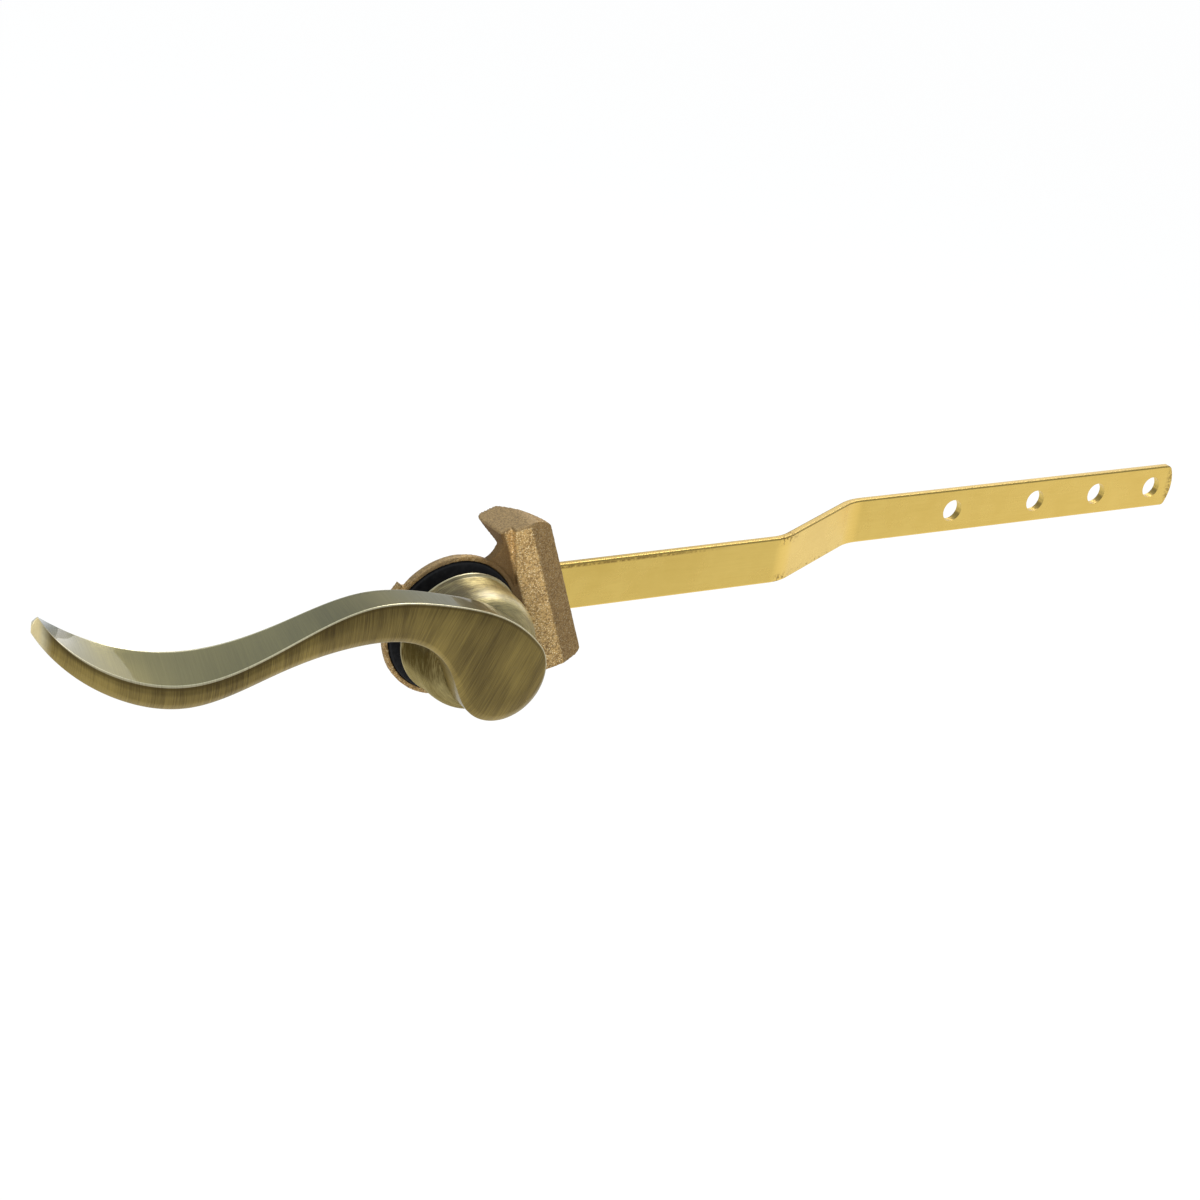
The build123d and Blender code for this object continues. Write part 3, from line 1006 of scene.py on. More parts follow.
def smooth_curve(points: Sequence[Sequence[float]], start: Pair, end: Pair) -> np.ndarray:
    """A smooth curve through points, with its two end directions given.

    Args:
        points: The points to pass through.
        start: Direction at the first point.
        end: Direction at the last point.

    Returns:
        Many points along the curve.
    """
    at = np.array(points, float)
    step = np.linalg.norm(np.diff(at, axis=0), axis=1)
    count = len(at)
    system = np.zeros((count, count))
    right = np.zeros((count, 2))
    system[0, 0] = system[-1, -1] = 1.0
    right[0] = np.array(start, float) / np.linalg.norm(start)
    right[-1] = np.array(end, float) / np.linalg.norm(end)
    for i in range(1, count - 1):
        before, after = step[i - 1], step[i]
        system[i, i - 1 : i + 2] = 1 / before, 2 / before + 2 / after, 1 / after
        right[i] = 3 * ((at[i] - at[i - 1]) / before**2 + (at[i + 1] - at[i]) / after**2)
    slope = np.linalg.solve(system, right)
    share = np.linspace(0, 1, 60, endpoint=False)[:, None]
    s2, s3 = share**2, share**3
    found = []
    for i in range(count - 1):
        found.append(
            (2 * s3 - 3 * s2 + 1) * at[i]
            + (s3 - 2 * s2 + share) * step[i] * slope[i]
            + (3 * s2 - 2 * s3) * at[i + 1]
            + (s3 - s2) * step[i] * slope[i + 1]
        )
    return np.vstack(found + [at[-1:]])


def spread(line: np.ndarray, count: int) -> np.ndarray:
    """Points at even steps along a line.

    Args:
        line: The line's points.
        count: How many steps.

    Returns:
        One point more than that, the ends among them.
    """
    run = np.concatenate([[0], np.cumsum(np.linalg.norm(np.diff(line, axis=0), axis=1))])
    want = np.linspace(0, run[-1], count + 1)
    return np.stack([np.interp(want, run, line[:, axis]) for axis in range(2)], 1)


@dataclass
class LeverHandle:
    """The wave-shaped handle with its round hub."""

    front: float = -20.6
    thickness: float = 7.2
    hub_radius: float = 11.3
    hub_x: float = 1.2
    hub_z: float = -1.9
    hub_top_angle: float = 40.0
    hub_low_angle: float = -145.0
    top_crest: float = -35.0
    low_crest: float = -38.0
    reach: float = 111.9
    tip_rise: float = 28.25
    tip_height: float = 3.7
    tip_set_back: float = 2.8
    tip_drop_behind: float = 3.7
    tip_low_drop_behind: float = 1.8
    tip_slant: float = 1.2
    tip_bulge: float = 0.5
    crown: float = 0.30
    crown_run: float = 3.6
    ridge_round: float = 0.22
    low_roll: float = 1.8
    low_roll_depth: float = 0.9
    low_fullness: float = 1.25
    back_round: float = 0.3
    roll_layers: tuple[float, ...] = (0.52, 0.66, 0.78, 0.85)
    side_layers: tuple[float, ...] = (1.8, 2.8, 3.8, 4.8, 5.8)
    lower_draft: float = 0.7
    seat_radius: float = 5.02
    seat_depth: float = 5.0
    grub_radius: float = 2.03
    grub_drill: float = 12.0
    grub_height: float = -9.0
    crest_columns: int = 170
    neck_columns: int = 70
    hub_columns: int = 36
    tip_columns: int = 5
    cap_rows: int = 18

    def hub_arc(self, start: float, end: float, first: float, last: float) -> np.ndarray:
        """Part of the hub's outline.

        Args:
            start: First angle in degrees.
            end: Last angle.
            first: How far the outline is drawn in at the first angle.
            last: How far at the last angle.

        Returns:
            Points on the arc.
        """
        share = np.linspace(0, 1, self.hub_columns + 1)
        angle = np.radians(start + (end - start) * share)
        ease = share * share * (3 - 2 * share)
        radius = self.hub_radius - first - (last - first) * ease
        return np.stack([self.hub_x + radius * np.cos(angle), self.hub_z + radius * np.sin(angle)], 1)

    def outline(self, depth: float, ti: float, li: float) -> tuple[np.ndarray, np.ndarray]:
        """The upper and the lower edge at one depth behind the front face.

        Args:
            depth: Depth behind the front face.
            ti: How far the upper edge is drawn in.
            li: How far the lower edge is drawn in.

        Returns:
            Both edges, each from the middle of the tip round to the far side of the hub.
        """
        share = depth / self.thickness
        draft = self.lower_draft * share
        tip_x = -self.reach + self.tip_set_back * share + ti
        tip_top = np.array((tip_x, self.tip_rise - self.tip_drop_behind * share - ti))
        low_z = self.tip_rise - self.tip_height - self.tip_low_drop_behind * share
        tip_low = np.array((tip_x - self.tip_slant, low_z + 0.3 * li))
        tip_mid = (tip_top + tip_low) / 2 - (self.tip_bulge, 0)
        middle = (self.hub_top_angle + self.hub_low_angle) / 2
        arc_top = self.hub_arc(self.hub_top_angle, middle, ti, li)
        arc_low = self.hub_arc(self.hub_low_angle, middle, li, li)
        a, b = math.radians(self.hub_top_angle), math.radians(self.hub_low_angle)
        # Waypoints of the wave, moved by the lean of the body and by the insets
        top_points = [
            tip_top,
            (-94.0, 12.0 + 4.3 * share - ti),
            (-76.0, 7.2 + 5.3 * share - ti),
            (-56.0, 13.0 + 2.6 * share - ti),
            (self.top_crest, 20.6 + 0.6 * share - ti),
            (-15.0, 18.6 - ti),
            (1.5 - 0.5 * ti, 12.5 - 0.8 * ti),
            arc_top[0],
        ]
        low_points = [
            arc_low[0],
            (-13.3 + 0.5 * li, 1.9 + 0.2 * li),
            (-19.4 + 0.4 * li, 8.1 + 0.6 * li),
            (self.low_crest, 11.0 + li),
            (-56.0, 6.9 + draft + li),
            (-76.0, 1.5 + draft + li),
            (-94.0, 6.6 + draft + li),
            (-106.5 + 0.6 * li, 16.2 + draft + 0.6 * li),
            tip_low,
        ]
        top = smooth_curve(top_points, (0.6 + 0.8 * share, -1), (math.sin(a), -math.cos(a)))
        low = smooth_curve(low_points, (math.sin(b), -math.cos(b)), (-0.6, 1))[::-1]
        upper = self.edge(tip_mid, tip_top, top, self.top_crest, arc_top)
        lower = self.edge(tip_mid, tip_low, low, self.low_crest, arc_low)
        return upper, lower

    def edge(
        self, tip_mid: np.ndarray, corner: np.ndarray, curve: np.ndarray, crest_x: float, arc: np.ndarray
    ) -> np.ndarray:
        """One edge of the outline, at even steps.

        Args:
            tip_mid: Middle of the tip.
            corner: Corner of the tip.
            curve: The wave from the corner to the hub.
            crest_x: Where the crest of the wave is.
            arc: The hub's arc.

        Returns:
            The edge's points.
        """
        share = np.linspace(0, 1, self.tip_columns + 1)[:, None]
        bow = tip_mid * (1 - share) + corner * share
        bow[:, 0] -= self.tip_bulge * 0.5 * (share * (1 - share))[:, 0]
        crest = int(np.argmin(np.abs(curve[:, 0] - crest_x)))
        far = spread(curve[: crest + 1], self.crest_columns)
        near = spread(curve[crest:], self.neck_columns)
        return np.vstack([bow, far[1:], near[1:], arc[1:]])

    def layers(self) -> list[Point]:
        """The layers that the body is built from.

        Returns:
            Depth and the two insets of each layer from front to back.
        """
        depths = [self.ridge_round * (1 - math.cos(turn)) for turn in np.radians(np.linspace(0, 90, 9))]
        depths += [*self.roll_layers, self.low_roll_depth, *self.side_layers]
        for turn in np.radians((0, 30, 60, 90)):
            depths.append(self.thickness - self.back_round * (1 - math.sin(turn)))
        rows = []
        for depth in depths:
            top = self.round_off(depth, self.ridge_round, self.ridge_round, 2.0)
            low = self.round_off(depth, self.low_roll, self.low_roll_depth, self.low_fullness)
            behind = self.round_off(self.thickness - depth, self.back_round, self.back_round, 2.0)
            rows.append((depth, top + behind, low + behind))
        return rows

    @staticmethod
    def round_off(depth: float, inset: float, run: float, fullness: float) -> float:
        """How far an edge is drawn in at a depth.

        Args:
            depth: Depth behind the face.
            inset: How far it is drawn in at the face.
            run: Depth at which the edge ends.
            fullness: 1 for a flat bevel, 2 for a quarter round.

        Returns:
            The inset there.
        """
        share = clamp(1 - max(depth, 0.0) / run)
        return inset * (1 - max(0.0, 1 - share**fullness) ** (1 / fullness))

    def shape(self) -> Piece:
        """Build the body from its layers.

        Returns:
            The closed handle, without its holes.
        """
        points: list[Point] = []
        layers = self.layers()
        squeeze = 1 - self.crown / self.thickness
        for depth, top, low in layers:
            deep = self.crown + depth * squeeze
            upper, lower = self.outline(deep, top, low)
            points += [(x, self.front + deep, z) for x, z in np.vstack([upper, lower[-2:0:-1]])]
        last = len(upper) - 1
        faces = Shop.walls(len(layers), 2 * last)
        back_ring = len(points) - 2 * last
        self.cap(points, faces, 0, last, self.crown)
        self.cap(points, faces, back_ring, last, 0.0)
        return Shop.piece("lever_handle_brushed", points, faces)

    def cap(self, points: list, faces: list, ring: int, last: int, crown: float) -> None:
        """Close one end of the body with rows of faces between its two edges.

        Args:
            points: The body's points, added to.
            faces: The body's faces, added to.
            ring: First point of the end's outline.
            last: Number of the outline's far point.
            crown: How far the middle of the face stands out in front of its edge.
        """
        edge = np.array(points[ring : ring + 2 * last])[:, (0, 2)]
        columns: list[list[int]] = [[ring]]
        for i in range(1, last):
            top, low = ring + i, ring + 2 * last - i
            column = [top]
            for row in range(1, self.cap_rows):
                share = 0.5 - 0.5 * math.cos(math.pi * row / self.cap_rows)
                x, y, z = np.array(points[top]) * (1 - share) + np.array(points[low]) * share
                inward = min(1.0, float(np.hypot(edge[:, 0] - x, edge[:, 1] - z).min()) / self.crown_run)
                column.append(len(points))
                points.append((x, y - crown * inward * (2 - inward), z))
            columns.append(column + [low])
        columns.append([ring + last])
        for here, there in zip(columns, columns[1:]):
            for k in range(self.cap_rows):
                if len(here) == 1:
                    faces.append((here[0], there[k], there[k + 1]))
                elif len(there) == 1:
                    faces.append((here[k], there[0], here[k + 1]))
                else:
                    faces.append((here[k], there[k], there[k + 1], here[k + 1]))

    def build(self) -> None:
        """Make and dress the handle."""
        part = self.shape()
        back = self.front + self.thickness
        seat = Shop.rod("seat_tool", self.seat_radius, back - self.seat_depth, back + 1, segments=64)
        Shop.cut(part, seat)
        half = self.grub_drill / 2
        drill = Shop.rod("grub_tool", self.grub_radius, -half, half, segments=40)
        place = Vector((0, (self.front + back) / 2, self.grub_height)) * MM
        drill.data.transform(Matrix.Translation(place) @ Matrix.Rotation(math.radians(90), 4, "X"))
        Shop.cut(part, drill)
        Shop.shade(part, angle=34.0)
        finish = AntiqueBrass("antique_brass_handle", Brush.ACROSS_LEVER).material()
        Shop.hand_over(part, "lever_handle", Body.LEVER, Slot.ANTIQUE_BRASS, finish)


@dataclass
class Escutcheon:
    """The round boss on the wall with its threaded shank."""

    radius: float = 15.15
    depth: float = 13.2
    front_round: float = 4.0
    wall_end: float = 2.4
    bell_steps: int = 26
    foot_radius: float = 15.65
    foot_height: float = 0.6
    foot_blend: float = 0.7
    back_edge: float = 0.3
    seat_radius: float = 9.15
    seat_back: float = -12.2
    rim_width: float = 2.0
    recess: float = 1.2
    shank_radius: float = 8.0
    shank_length: float = 13.2
    bore: float = 5.06
    thread_row: float = 0.125
    thread_pitch: float = 1.5
    thread_depth: float = 0.62
    thread_start: float = 0.6
    thread_fade: float = 1.0
    tooth_slope: float = 2.6
    tooth_flat: float = 0.15
    lead_length: float = 0.5
    lead_depth: float = 0.35
    notch_front: float = 10.7
    notch_back: float = 15.0
    notch_inner: float = 3.0
    notch_outer: float = 9.5
    notch_start: float = 72.4
    notch_end: float = 147.6
    notch_steps: int = 14
    segments: int = 160

    def bell(self) -> list[Point]:
        """The side of the bell, closing in more and more toward its front.

        Returns:
            Points from the front face back to the straight wall, as radius, y and no rounding.
        """
        run = self.depth - self.wall_end
        found = []
        for step in range(self.bell_steps + 1):
            turn = math.pi / 2 * (1 - step / self.bell_steps)
            radius = self.radius - self.front_round * (1 - math.cos(turn))
            found.append((radius, -self.wall_end - run * math.sqrt(math.sin(turn)), 0.0))
        return found

    def section(self) -> tuple[list[Pair], int, int]:
        """The half section.

        Returns:
            Its points, and the first and last number of the threaded rows.
        """
        inner_rim = self.foot_radius - self.rim_width
        body = Shop.rounded(
            [
                (self.bore, self.seat_back, 0.25),
                (self.seat_radius, self.seat_back, 0.12),
                (self.seat_radius, -self.depth, 0.15),
                *self.bell(),
                (self.radius, -self.foot_height - self.foot_blend, 0.6),
                (self.foot_radius, -self.foot_height, 0.18),
                (self.foot_radius, 0.0, self.back_edge),
                (inner_rim, 0.0, 0.25),
                (inner_rim, -self.recess, 0.2),
                (self.shank_radius, -self.recess, 0.0),
                (self.bore, self.shank_length, 0.0),
            ],
            steps=8,
        )[:-2]
        length = self.shank_length + self.recess
        rows = int(length / self.thread_row)
        shank = [(self.shank_radius, -self.recess + length * step / rows) for step in range(rows + 1)]
        return [*body, *shank, (self.bore, self.shank_length)], len(body), len(body) + rows

    def thread(self, y: float, angle: float) -> float:
        """Depth of the thread at a place on the shank.

        Args:
            y: Place along the shank.
            angle: Angle round it.

        Returns:
            How far the radius is cut back there.
        """
        phase = (y / self.thread_pitch - angle / (2 * math.pi)) % 1.0
        tooth = clamp(abs(phase - 0.5) * self.tooth_slope - self.tooth_flat)
        fade = clamp((y - self.thread_start) / self.thread_fade)
        lead = clamp((self.shank_length - y) / self.lead_length)
        return self.thread_depth * (1 - tooth) * fade + self.lead_depth * (1 - lead)

    def notch(self) -> Piece:
        """The tool that cuts the stop notch into the end of the shank.

        Returns:
            A closed slice of a ring.
        """
        near, far = self.notch_front, self.notch_back
        inner, outer = self.notch_inner, self.notch_outer
        rings = []
        for angle in np.radians(np.linspace(self.notch_start, self.notch_end, self.notch_steps + 1)):
            corners = ((inner, near), (outer, near), (outer, far), (inner, far))
            rings.append([(radius * math.cos(angle), y, radius * math.sin(angle)) for radius, y in corners])
        return Shop.sweep("notch_tool", rings)

    def build(self) -> None:
        """Make and dress the escutcheon."""
        section, first, last = self.section()
        part = Shop.lathe(
            "escutcheon_brushed",
            section,
            self.segments,
            lambda row, y, angle: self.thread(y, angle) if first <= row <= last else 0.0,
        )
        Shop.cut(part, self.notch())
        Shop.shade(part, angle=30.0)
        finish = AntiqueBrass(
            "antique_brass_escutcheon",
            Brush.AROUND_AXIS,
            dark=(0.075, 0.050, 0.013),
            rubbed=(0.440, 0.360, 0.160),
            roughness=0.38,
            bite=0.15,
            barrel=2.6,
            lacquer=0.68,
            lacquer_haze=0.32,
            slanting=(0.90, 0.81, 0.58),
        ).material()
        bare = TurnedBrass("turned_brass_shank").material()
        Shop.hand_over(part, "escutcheon", Body.TANK_FITTING, Slot.ANTIQUE_BRASS, finish, bare)
        for face in part.data.polygons:
            middle = face.center / MM
            slim = math.hypot(middle.x, middle.z) < self.shank_radius + 0.2
            face.material_index = 1 if slim and middle.y > -self.recess - 0.05 else 0


@dataclass(frozen=True)
class Washer:
    """One moulded ring on the spindle axis."""

    node: str
    slot: Slot
    finish: Mottled
    front: float
    back: float
    radius: float
    bore: float
    rounding: Band
    segments: int

    def build(self) -> None:
        """Make and dress the ring."""
        corners = [(self.bore, self.front), (self.radius, self.front)]
        corners += [(self.radius, self.back), (self.bore, self.back)]
        section = Shop.rounded([(*corner, size) for corner, size in zip(corners, self.rounding)])
        part = Shop.shade(Shop.lathe(f"{self.node}_moulded", section, self.segments))
        Shop.hand_over(part, self.node, Body.TANK_FITTING, self.slot, self.finish.material())


@dataclass
class Washers:
    """The pale thrust washer under the hub and the black seal behind the wall."""

    thrust: Washer = Washer(
        "thrust_washer",
        Slot.PALE_PLASTIC,
        PalePlastic(),
        front=-13.3,
        back=-12.2,
        radius=9.0,
        bore=5.25,
        rounding=(0.2, 0.3, 0.3, 0.2),
        segments=112,
    )
    seal: Washer = Washer(
        "seal_washer",
        Slot.BLACK_RUBBER,
        BlackRubber(),
        front=3.2,
        back=5.8,
        radius=16.6,
        bore=8.2,
        rounding=(0.4, 0.5, 0.4, 0.4),
        segments=128,
    )

    def build(self) -> None:
        """Make and dress both washers."""
        self.thrust.build()
        self.seal.build()


@dataclass
class CupNut:
    """The sand-cast cup nut with its wing."""

    voxel: float = 0.27
    melt: float = 0.5
    melt_rounds: int = 3
    sand_depth: float = 0.085
    sand_fineness: float = 1.9
    lump_depth: float = 0.10
    lump_fineness: float = 0.45
    end_lean: float = 21.5
    end_height: float = 17.2
    ground_depth: float = 0.9
    ground_fade: float = 0.5
    ground_share: float = 0.2
    bore: float = 8.12
    bore_wall: float = 0.7
    bore_share: float = 0.1

    def build(self) -> None:
        """Make and dress the casting."""
        part = Shop.copy_of("cup_nut", "cup_nut_cast")
        grid = part.modifiers.new("casting_skin", "REMESH")
        grid.mode = "VOXEL"
        grid.voxel_size = self.voxel * MM
        melt = part.modifiers.new("melted_edges", "SMOOTH")
        melt.factor = self.melt
        melt.iterations = self.melt_rounds
        Shop.settle(part)
        self.sand(part.data)
        part.data.shade_smooth()
        Shop.hand_over(part, "cup_nut", Body.TANK_FITTING, Slot.CAST_BRONZE, CastBronze().material())

    def sand(self, mesh: bpy.types.Mesh) -> None:
        """Press the grains of the mould into the skin, inward only.

        Args:
            mesh: The casting's mesh.
        """
        count = len(mesh.vertices)
        at, out = np.zeros(count * 3), np.zeros(count * 3)
        mesh.vertices.foreach_get("co", at)
        mesh.vertices.foreach_get("normal", out)
        at, out = at.reshape(-1, 3) / MM, out.reshape(-1, 3)
        lean = math.radians(self.end_lean)
        up = at[:, 2] * math.cos(lean) - at[:, 0] * math.sin(lean)
        ground = np.clip((up - self.end_height + self.ground_depth) / self.ground_fade, 0, 1)
        inside = np.hypot(at[:, 0], at[:, 2]) < self.bore + self.bore_wall
        press = np.zeros(count)
        for i, spot in enumerate(at):
            here = Vector(spot)
            fine = noise.noise(here * self.sand_fineness)
            broad = noise.noise(here * self.lump_fineness)
            press[i] = self.sand_depth * (0.5 - 0.5 * fine) + self.lump_depth * (0.5 - 0.5 * broad)
        press *= (1 - (1 - self.ground_share) * ground) * np.where(inside, self.bore_share, 1.0)
        mesh.vertices.foreach_set("co", ((at - out * press[:, None]) * MM).ravel())
        mesh.update()


@dataclass
class SpindleSet:
    """The turned spindle and the grub screw that holds the handle on it."""

    spindle_edge: float = 0.16
    grub_edge: float = 0.10

    def build(self) -> None:
        """Make and dress both pieces."""
        turned = TurnedBrass("turned_brass_spindle").material()
        Shop.turning("spindle", "spindle_turned", self.spindle_edge, Slot.TURNED_BRASS, turned)
        steel = ScrewSteel("plated_grub_steel").material()
        Shop.turning("grub_screw", "grub_screw_plated", self.grub_edge, Slot.SCREW_STEEL, steel)


@dataclass
class TripArm:
    """The bent strip inside the cistern with its chain holes, screw and lock washer."""

    width: float = 12.7
    thickness: float = 2.1
    root: float = 7.4
    reach: float = 258.0
    front: float = 15.7
    set_start: float = 104.9
    set_run: float = 33.7
    set_depth: float = 16.2
    bend_radius: float = 15.0
    edge_round: float = 0.55
    end_radius: float = 11.5
    end_corner: float = 1.0
    end_sweep: float = 0.88
    spare: float = 1.0
    blank_span: Span = (10.0, 40.0)
    hole_radius: float = 3.175
    holes: tuple[float, ...] = (174.5, 205.0, 228.3, 250.0)
    punch_length: float = 8.0
    punch_segments: int = 56
    near_steps: int = 40
    bend_steps: int = 15
    slope_steps: int = 12
    far_steps: int = 50
    nose_steps: int = 25
    root_steps: int = 33
    square: float = 7.1
    broken_edge: float = 0.22
    washer_edge: float = 0.14
    screw_edge: float = 0.18

    def path(self) -> tuple[np.ndarray, np.ndarray]:
        """The front line of the strip.

        Returns:
            Its points in X and Y, and the direction through the strip at each.
        """
        lean = math.atan2(self.set_depth, self.set_run)
        bend = self.bend_radius
        tangent = bend * math.tan(lean / 2)
        first = np.array((self.set_start, self.front))
        second = first + (self.set_run, self.set_depth)
        slope = np.array((math.cos(lean), math.sin(lean))) * tangent
        near = np.linspace(-self.root, first[0] - tangent, self.near_steps)[:-1]
        line = [(x, self.front, 0.0) for x in near]
        middle = first + (-tangent, bend)
        for turn in np.linspace(0, lean, self.bend_steps):
            line.append((middle[0] + bend * math.sin(turn), middle[1] - bend * math.cos(turn), turn))
        for share in np.linspace(0, 1, self.slope_steps)[1:-1]:
            line.append((*((first + slope) * (1 - share) + (second - slope) * share), lean))
        middle = second + (tangent, -bend)
        for turn in np.linspace(lean, 0, self.bend_steps):
            line.append((middle[0] - bend * math.sin(turn), middle[1] + bend * math.cos(turn), turn))
        far = np.linspace(middle[0], self.reach + self.spare, self.far_steps)[1:]
        line += [(x, second[1], 0.0) for x in far]
        found = np.array(line)
        return found[:, :2], np.stack([-np.sin(found[:, 2]), np.cos(found[:, 2])], 1)

    def strip(self) -> Piece:
        """The bent strip with rounded edges and square ends.

        Returns:
            The closed strip.
        """
        half, thick, corner = self.width / 2, self.thickness, self.edge_round
        corners = [(0.0, -half, corner), (thick, -half, corner), (thick, half, corner), (0.0, half, corner)]
        section = Shop.rounded(corners, steps=6)
        rings = []
        for spot, way in zip(*self.path()):
            rings.append([(*(spot + way * deep), z) for deep, z in section])
        return Shop.sweep("trip_arm_strip", rings)

    def blank(self) -> Piece:
        """The flat outline that the strip is cut to, as a thick slab.

        Returns:
            A closed slab.
        """
        half, corner, radius = self.width / 2, self.end_corner, self.end_radius
        wide = half + self.spare
        centre = self.reach - radius
        shoulder = centre + math.sqrt(radius**2 - half**2)
        low = [
            (shoulder - 4.0, -wide),
            (shoulder - corner, -wide),
            (shoulder - corner, -half),
            (shoulder - 0.35 * corner, -half + 0.12 * corner),
        ]
        sweep = math.asin(half / radius) * self.end_sweep
        turns = np.linspace(-sweep, sweep, self.nose_steps)
        nose = [(centre + radius * math.cos(a), radius * math.sin(a)) for a in turns]
        heel = half - self.root
        turns = np.radians(np.linspace(90, 270, self.root_steps))
        root = [(heel + half * math.cos(a), half * math.sin(a)) for a in turns]
        high = [(x, -z) for x, z in low[:0:-1]]
        edge = low + nose + high + [(heel, wide)] + root + [(heel, -wide)]
        return Shop.sweep("blank_tool", [[(x, y, z) for x, z in edge] for y in self.blank_span])

    def punch(self) -> Piece:
        """The tools that make the chain holes and the square hole, as one mesh.

        Returns:
            Closed rods and a closed square bar.
        """
        work = bmesh.new()
        middle = self.front + self.thickness / 2
        upright = Matrix.Rotation(math.radians(90), 4, "X")
        size = self.hole_radius * MM
        for x in self.holes:
            made = bmesh.ops.create_cone(
                work,
                cap_ends=True,
                segments=self.punch_segments,
                radius1=size,
                radius2=size,
                depth=self.punch_length * MM,
            )
            place = Matrix.Translation((x * MM, (middle + self.set_depth) * MM, 0)) @ upright
            bmesh.ops.transform(work, matrix=place, verts=made["verts"])
        made = bmesh.ops.create_cube(work, size=self.square * MM)
        bmesh.ops.transform(work, matrix=Matrix.Translation((0, middle * MM, 0)), verts=made["verts"])
        mesh = bpy.data.meshes.new("punch_tool")
        work.to_mesh(mesh)
        work.free()
        return Shop.show("punch_tool", mesh)

    def build(self) -> None:
        """Make and dress the arm, its lock washer and its screw."""
        arm = self.strip()
        Shop.cut(arm, self.blank(), keep_inside=True)
        Shop.cut(arm, self.punch())
        Shop.shade(Shop.soften(arm, self.broken_edge, angle=50.0), angle=34.0)
        Shop.hand_over(arm, "trip_arm", Body.LEVER, Slot.YELLOW_BRASS, YellowBrass().material())
        steel = ScrewSteel().material()
        Shop.turning("lock_washer", "lock_washer_plated", self.washer_edge, Slot.SCREW_STEEL, steel)
        Shop.turning("arm_screw", "arm_screw_plated", self.screw_edge, Slot.SCREW_STEEL, steel)


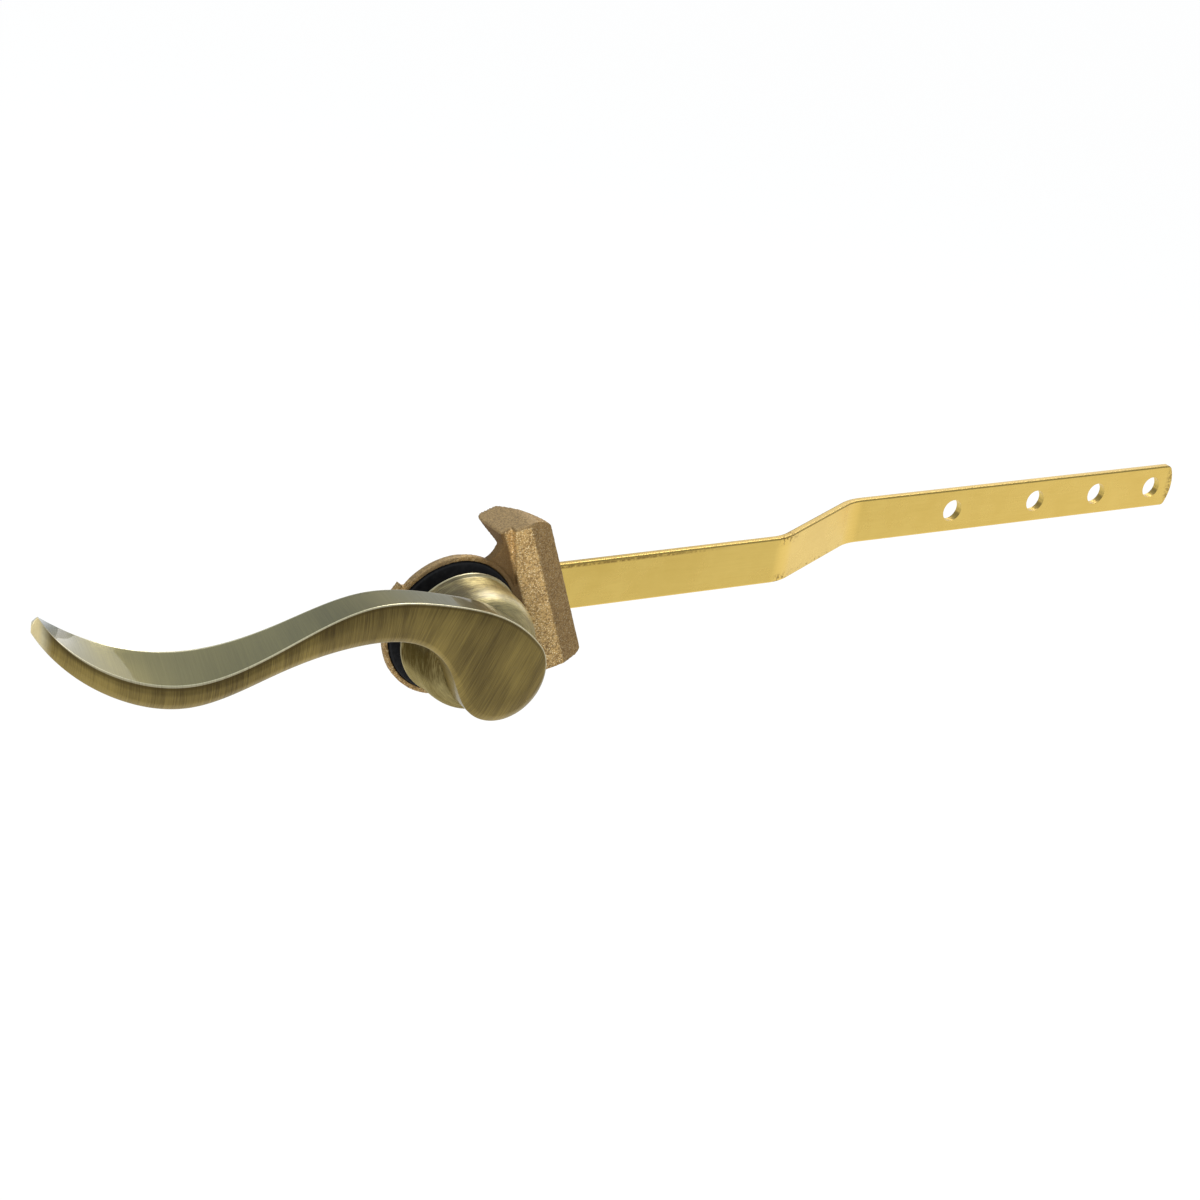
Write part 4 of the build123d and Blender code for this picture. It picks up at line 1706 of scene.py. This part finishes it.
@dataclass
class Studio:
    """Camera, pale floor and soft light."""

    eye: Point = (-0.2842, -0.4589, 0.2622)
    right: Point = (0.8458, -0.5141, 0.1425)
    up: Point = (0.1091, 0.4281, 0.8971)
    ahead: Pair = (0.575, 0.818)
    lens: float = 76.78
    floor_height: float = -240.0
    floor_half: float = 3000.0
    floor_grey: Colour = (0.70, 0.70, 0.70)
    floor_white: float = 1.08
    floor_share: float = 0.88
    floor_near: Span = (-320.0, 160.0)
    floor_far: Span = (60.0, 200.0)
    horizon: Span = (0.06, 0.20)
    roof: Span = (0.45, 0.90)
    behind: Span = (-0.6, 0.1)
    behind_level: float = 0.8
    ambient: float = 0.50
    wall_level: float = 0.60
    roof_level: float = 1.08
    room_tint: Colour = (0.90, 1.0, 1.04)
    white: Colour = (1.0, 1.0, 1.0)

    def camera(self) -> None:
        """Stand the camera where the photograph was taken from."""
        data = bpy.data.cameras.new("camera")
        data.lens = self.lens
        data.sensor_width = 36.0
        data.clip_start = 0.01
        data.clip_end = 50.0
        across = Vector(self.right).normalized()
        upward = Vector(self.up)
        upward = (upward - across * upward.dot(across)).normalized()
        turn = Matrix((across, upward, across.cross(upward))).transposed().to_4x4()
        seat = bpy.data.objects.new("camera", data)
        seat.matrix_world = Matrix.Translation(self.eye) @ turn
        bpy.context.scene.collection.objects.link(seat)
        bpy.context.scene.camera = seat

    def world(self) -> None:
        """A white surround for the eye and for the metal, and an even light for the rest."""
        world = bpy.data.worlds.new("studio")
        bpy.context.scene.world = world
        world.use_nodes = True
        nodes = Wiring(world.node_tree)
        seen, glossy, through = nodes.rays()
        shown = seen.most(glossy).most(through)
        x, y, z = nodes.axes(nodes.node("ShaderNodeTexCoord", output="Generated"))
        above = nodes.rise(z, *self.horizon)
        way = x * self.ahead[0] + y * self.ahead[1]
        ahead = nodes.rise(way, *self.behind, self.behind_level, 1.0)
        room = 1.0 - seen
        colour = nodes.tint(room * above, self.white, self.room_tint)
        level = nodes.rise(z, *self.roof, self.wall_level, self.roof_level)
        sight = seen + room * ahead * (1.0 - above * (1.0 - level))
        strength = shown * sight + (1.0 - shown) * self.ambient
        light = nodes.node("ShaderNodeBackground", None, {"Color": colour, "Strength": strength})
        nodes.node("ShaderNodeOutputWorld", None, {"Surface": light})

    def floor(self) -> None:
        """Lay a plain pale floor well below the lever."""
        half, low = self.floor_half, self.floor_height
        corners = [(-half, -half, low), (half, -half, low), (half, half, low), (-half, half, low)]
        slab = Shop.piece("floor", corners, [(0, 1, 2, 3)])
        paint = Paint("pale_floor")
        seen, glossy, through = paint.rays()
        x, y, _ = paint.at
        way = x * self.ahead[0] + y * self.ahead[1]
        sweep = paint.rise(way, *self.floor_near) * paint.rise(y, *self.floor_far, 1.0, 0.1)
        shown = seen.most((glossy * sweep).most(through)) * self.floor_share
        plain = paint.node("ShaderNodeBsdfDiffuse", None, {"Color": self.floor_grey})
        white = paint.node("ShaderNodeEmission", None, {"Color": self.white, "Strength": self.floor_white})
        both = paint.node("ShaderNodeMixShader", None, {0: shown, 1: plain, 2: white})
        paint.node("ShaderNodeOutputMaterial", None, {"Surface": both})
        slab.data.materials.append(paint.material)

    def softbox(self, name: str, at: Point, toward: Point, size: Pair, watts: float) -> None:
        """Hang one soft lamp.

        Args:
            name: Name of the lamp.
            at: Where it hangs.
            toward: What it faces.
            size: Its width and height in metres.
            watts: Its power.
        """
        data = bpy.data.lights.new(name, "AREA")
        data.shape = "RECTANGLE"
        data.size, data.size_y = size
        data.energy = watts
        lamp = bpy.data.objects.new(name, data)
        way = Vector(at) - Vector(toward)
        lamp.matrix_world = Matrix.Translation(at) @ way.to_track_quat("Z", "Y").to_matrix().to_4x4()
        lamp.visible_camera = False
        bpy.context.scene.collection.objects.link(lamp)

    def build(self) -> None:
        """Set the whole studio up."""
        self.camera()
        self.world()
        self.floor()
        self.softbox("side_softbox", (0.80, 0.39, 0.35), (-0.10, 0.0, 0.01), (0.67, 0.77), watts=1.95)
        self.softbox("high_softbox", (0.468, 0.340, 0.689), (0.0, 0.0, 0.01), (0.38, 0.36), watts=4.6)
        self.softbox("left_softbox", (-0.66, -0.74, 0.34), (0.0, 0.0, 0.0), (0.5, 0.6), watts=9.0)


def main() -> None:
    """Build the studio and every sub-assembly in order."""
    logging.basicConfig(level=logging.INFO, format="%(name)s: %(message)s")
    scene = bpy.context.scene
    for thing in list(scene.objects):
        bpy.data.objects.remove(thing)
    scene.view_settings.view_transform = "Standard"
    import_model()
    Studio().build()
    for assembly in (LeverHandle(), Escutcheon(), Washers(), CupNut(), SpindleSet(), TripArm()):
        assembly.build()
        LOG.info("%s is in place", type(assembly).__name__)


if __name__ == "__main__":
    main()
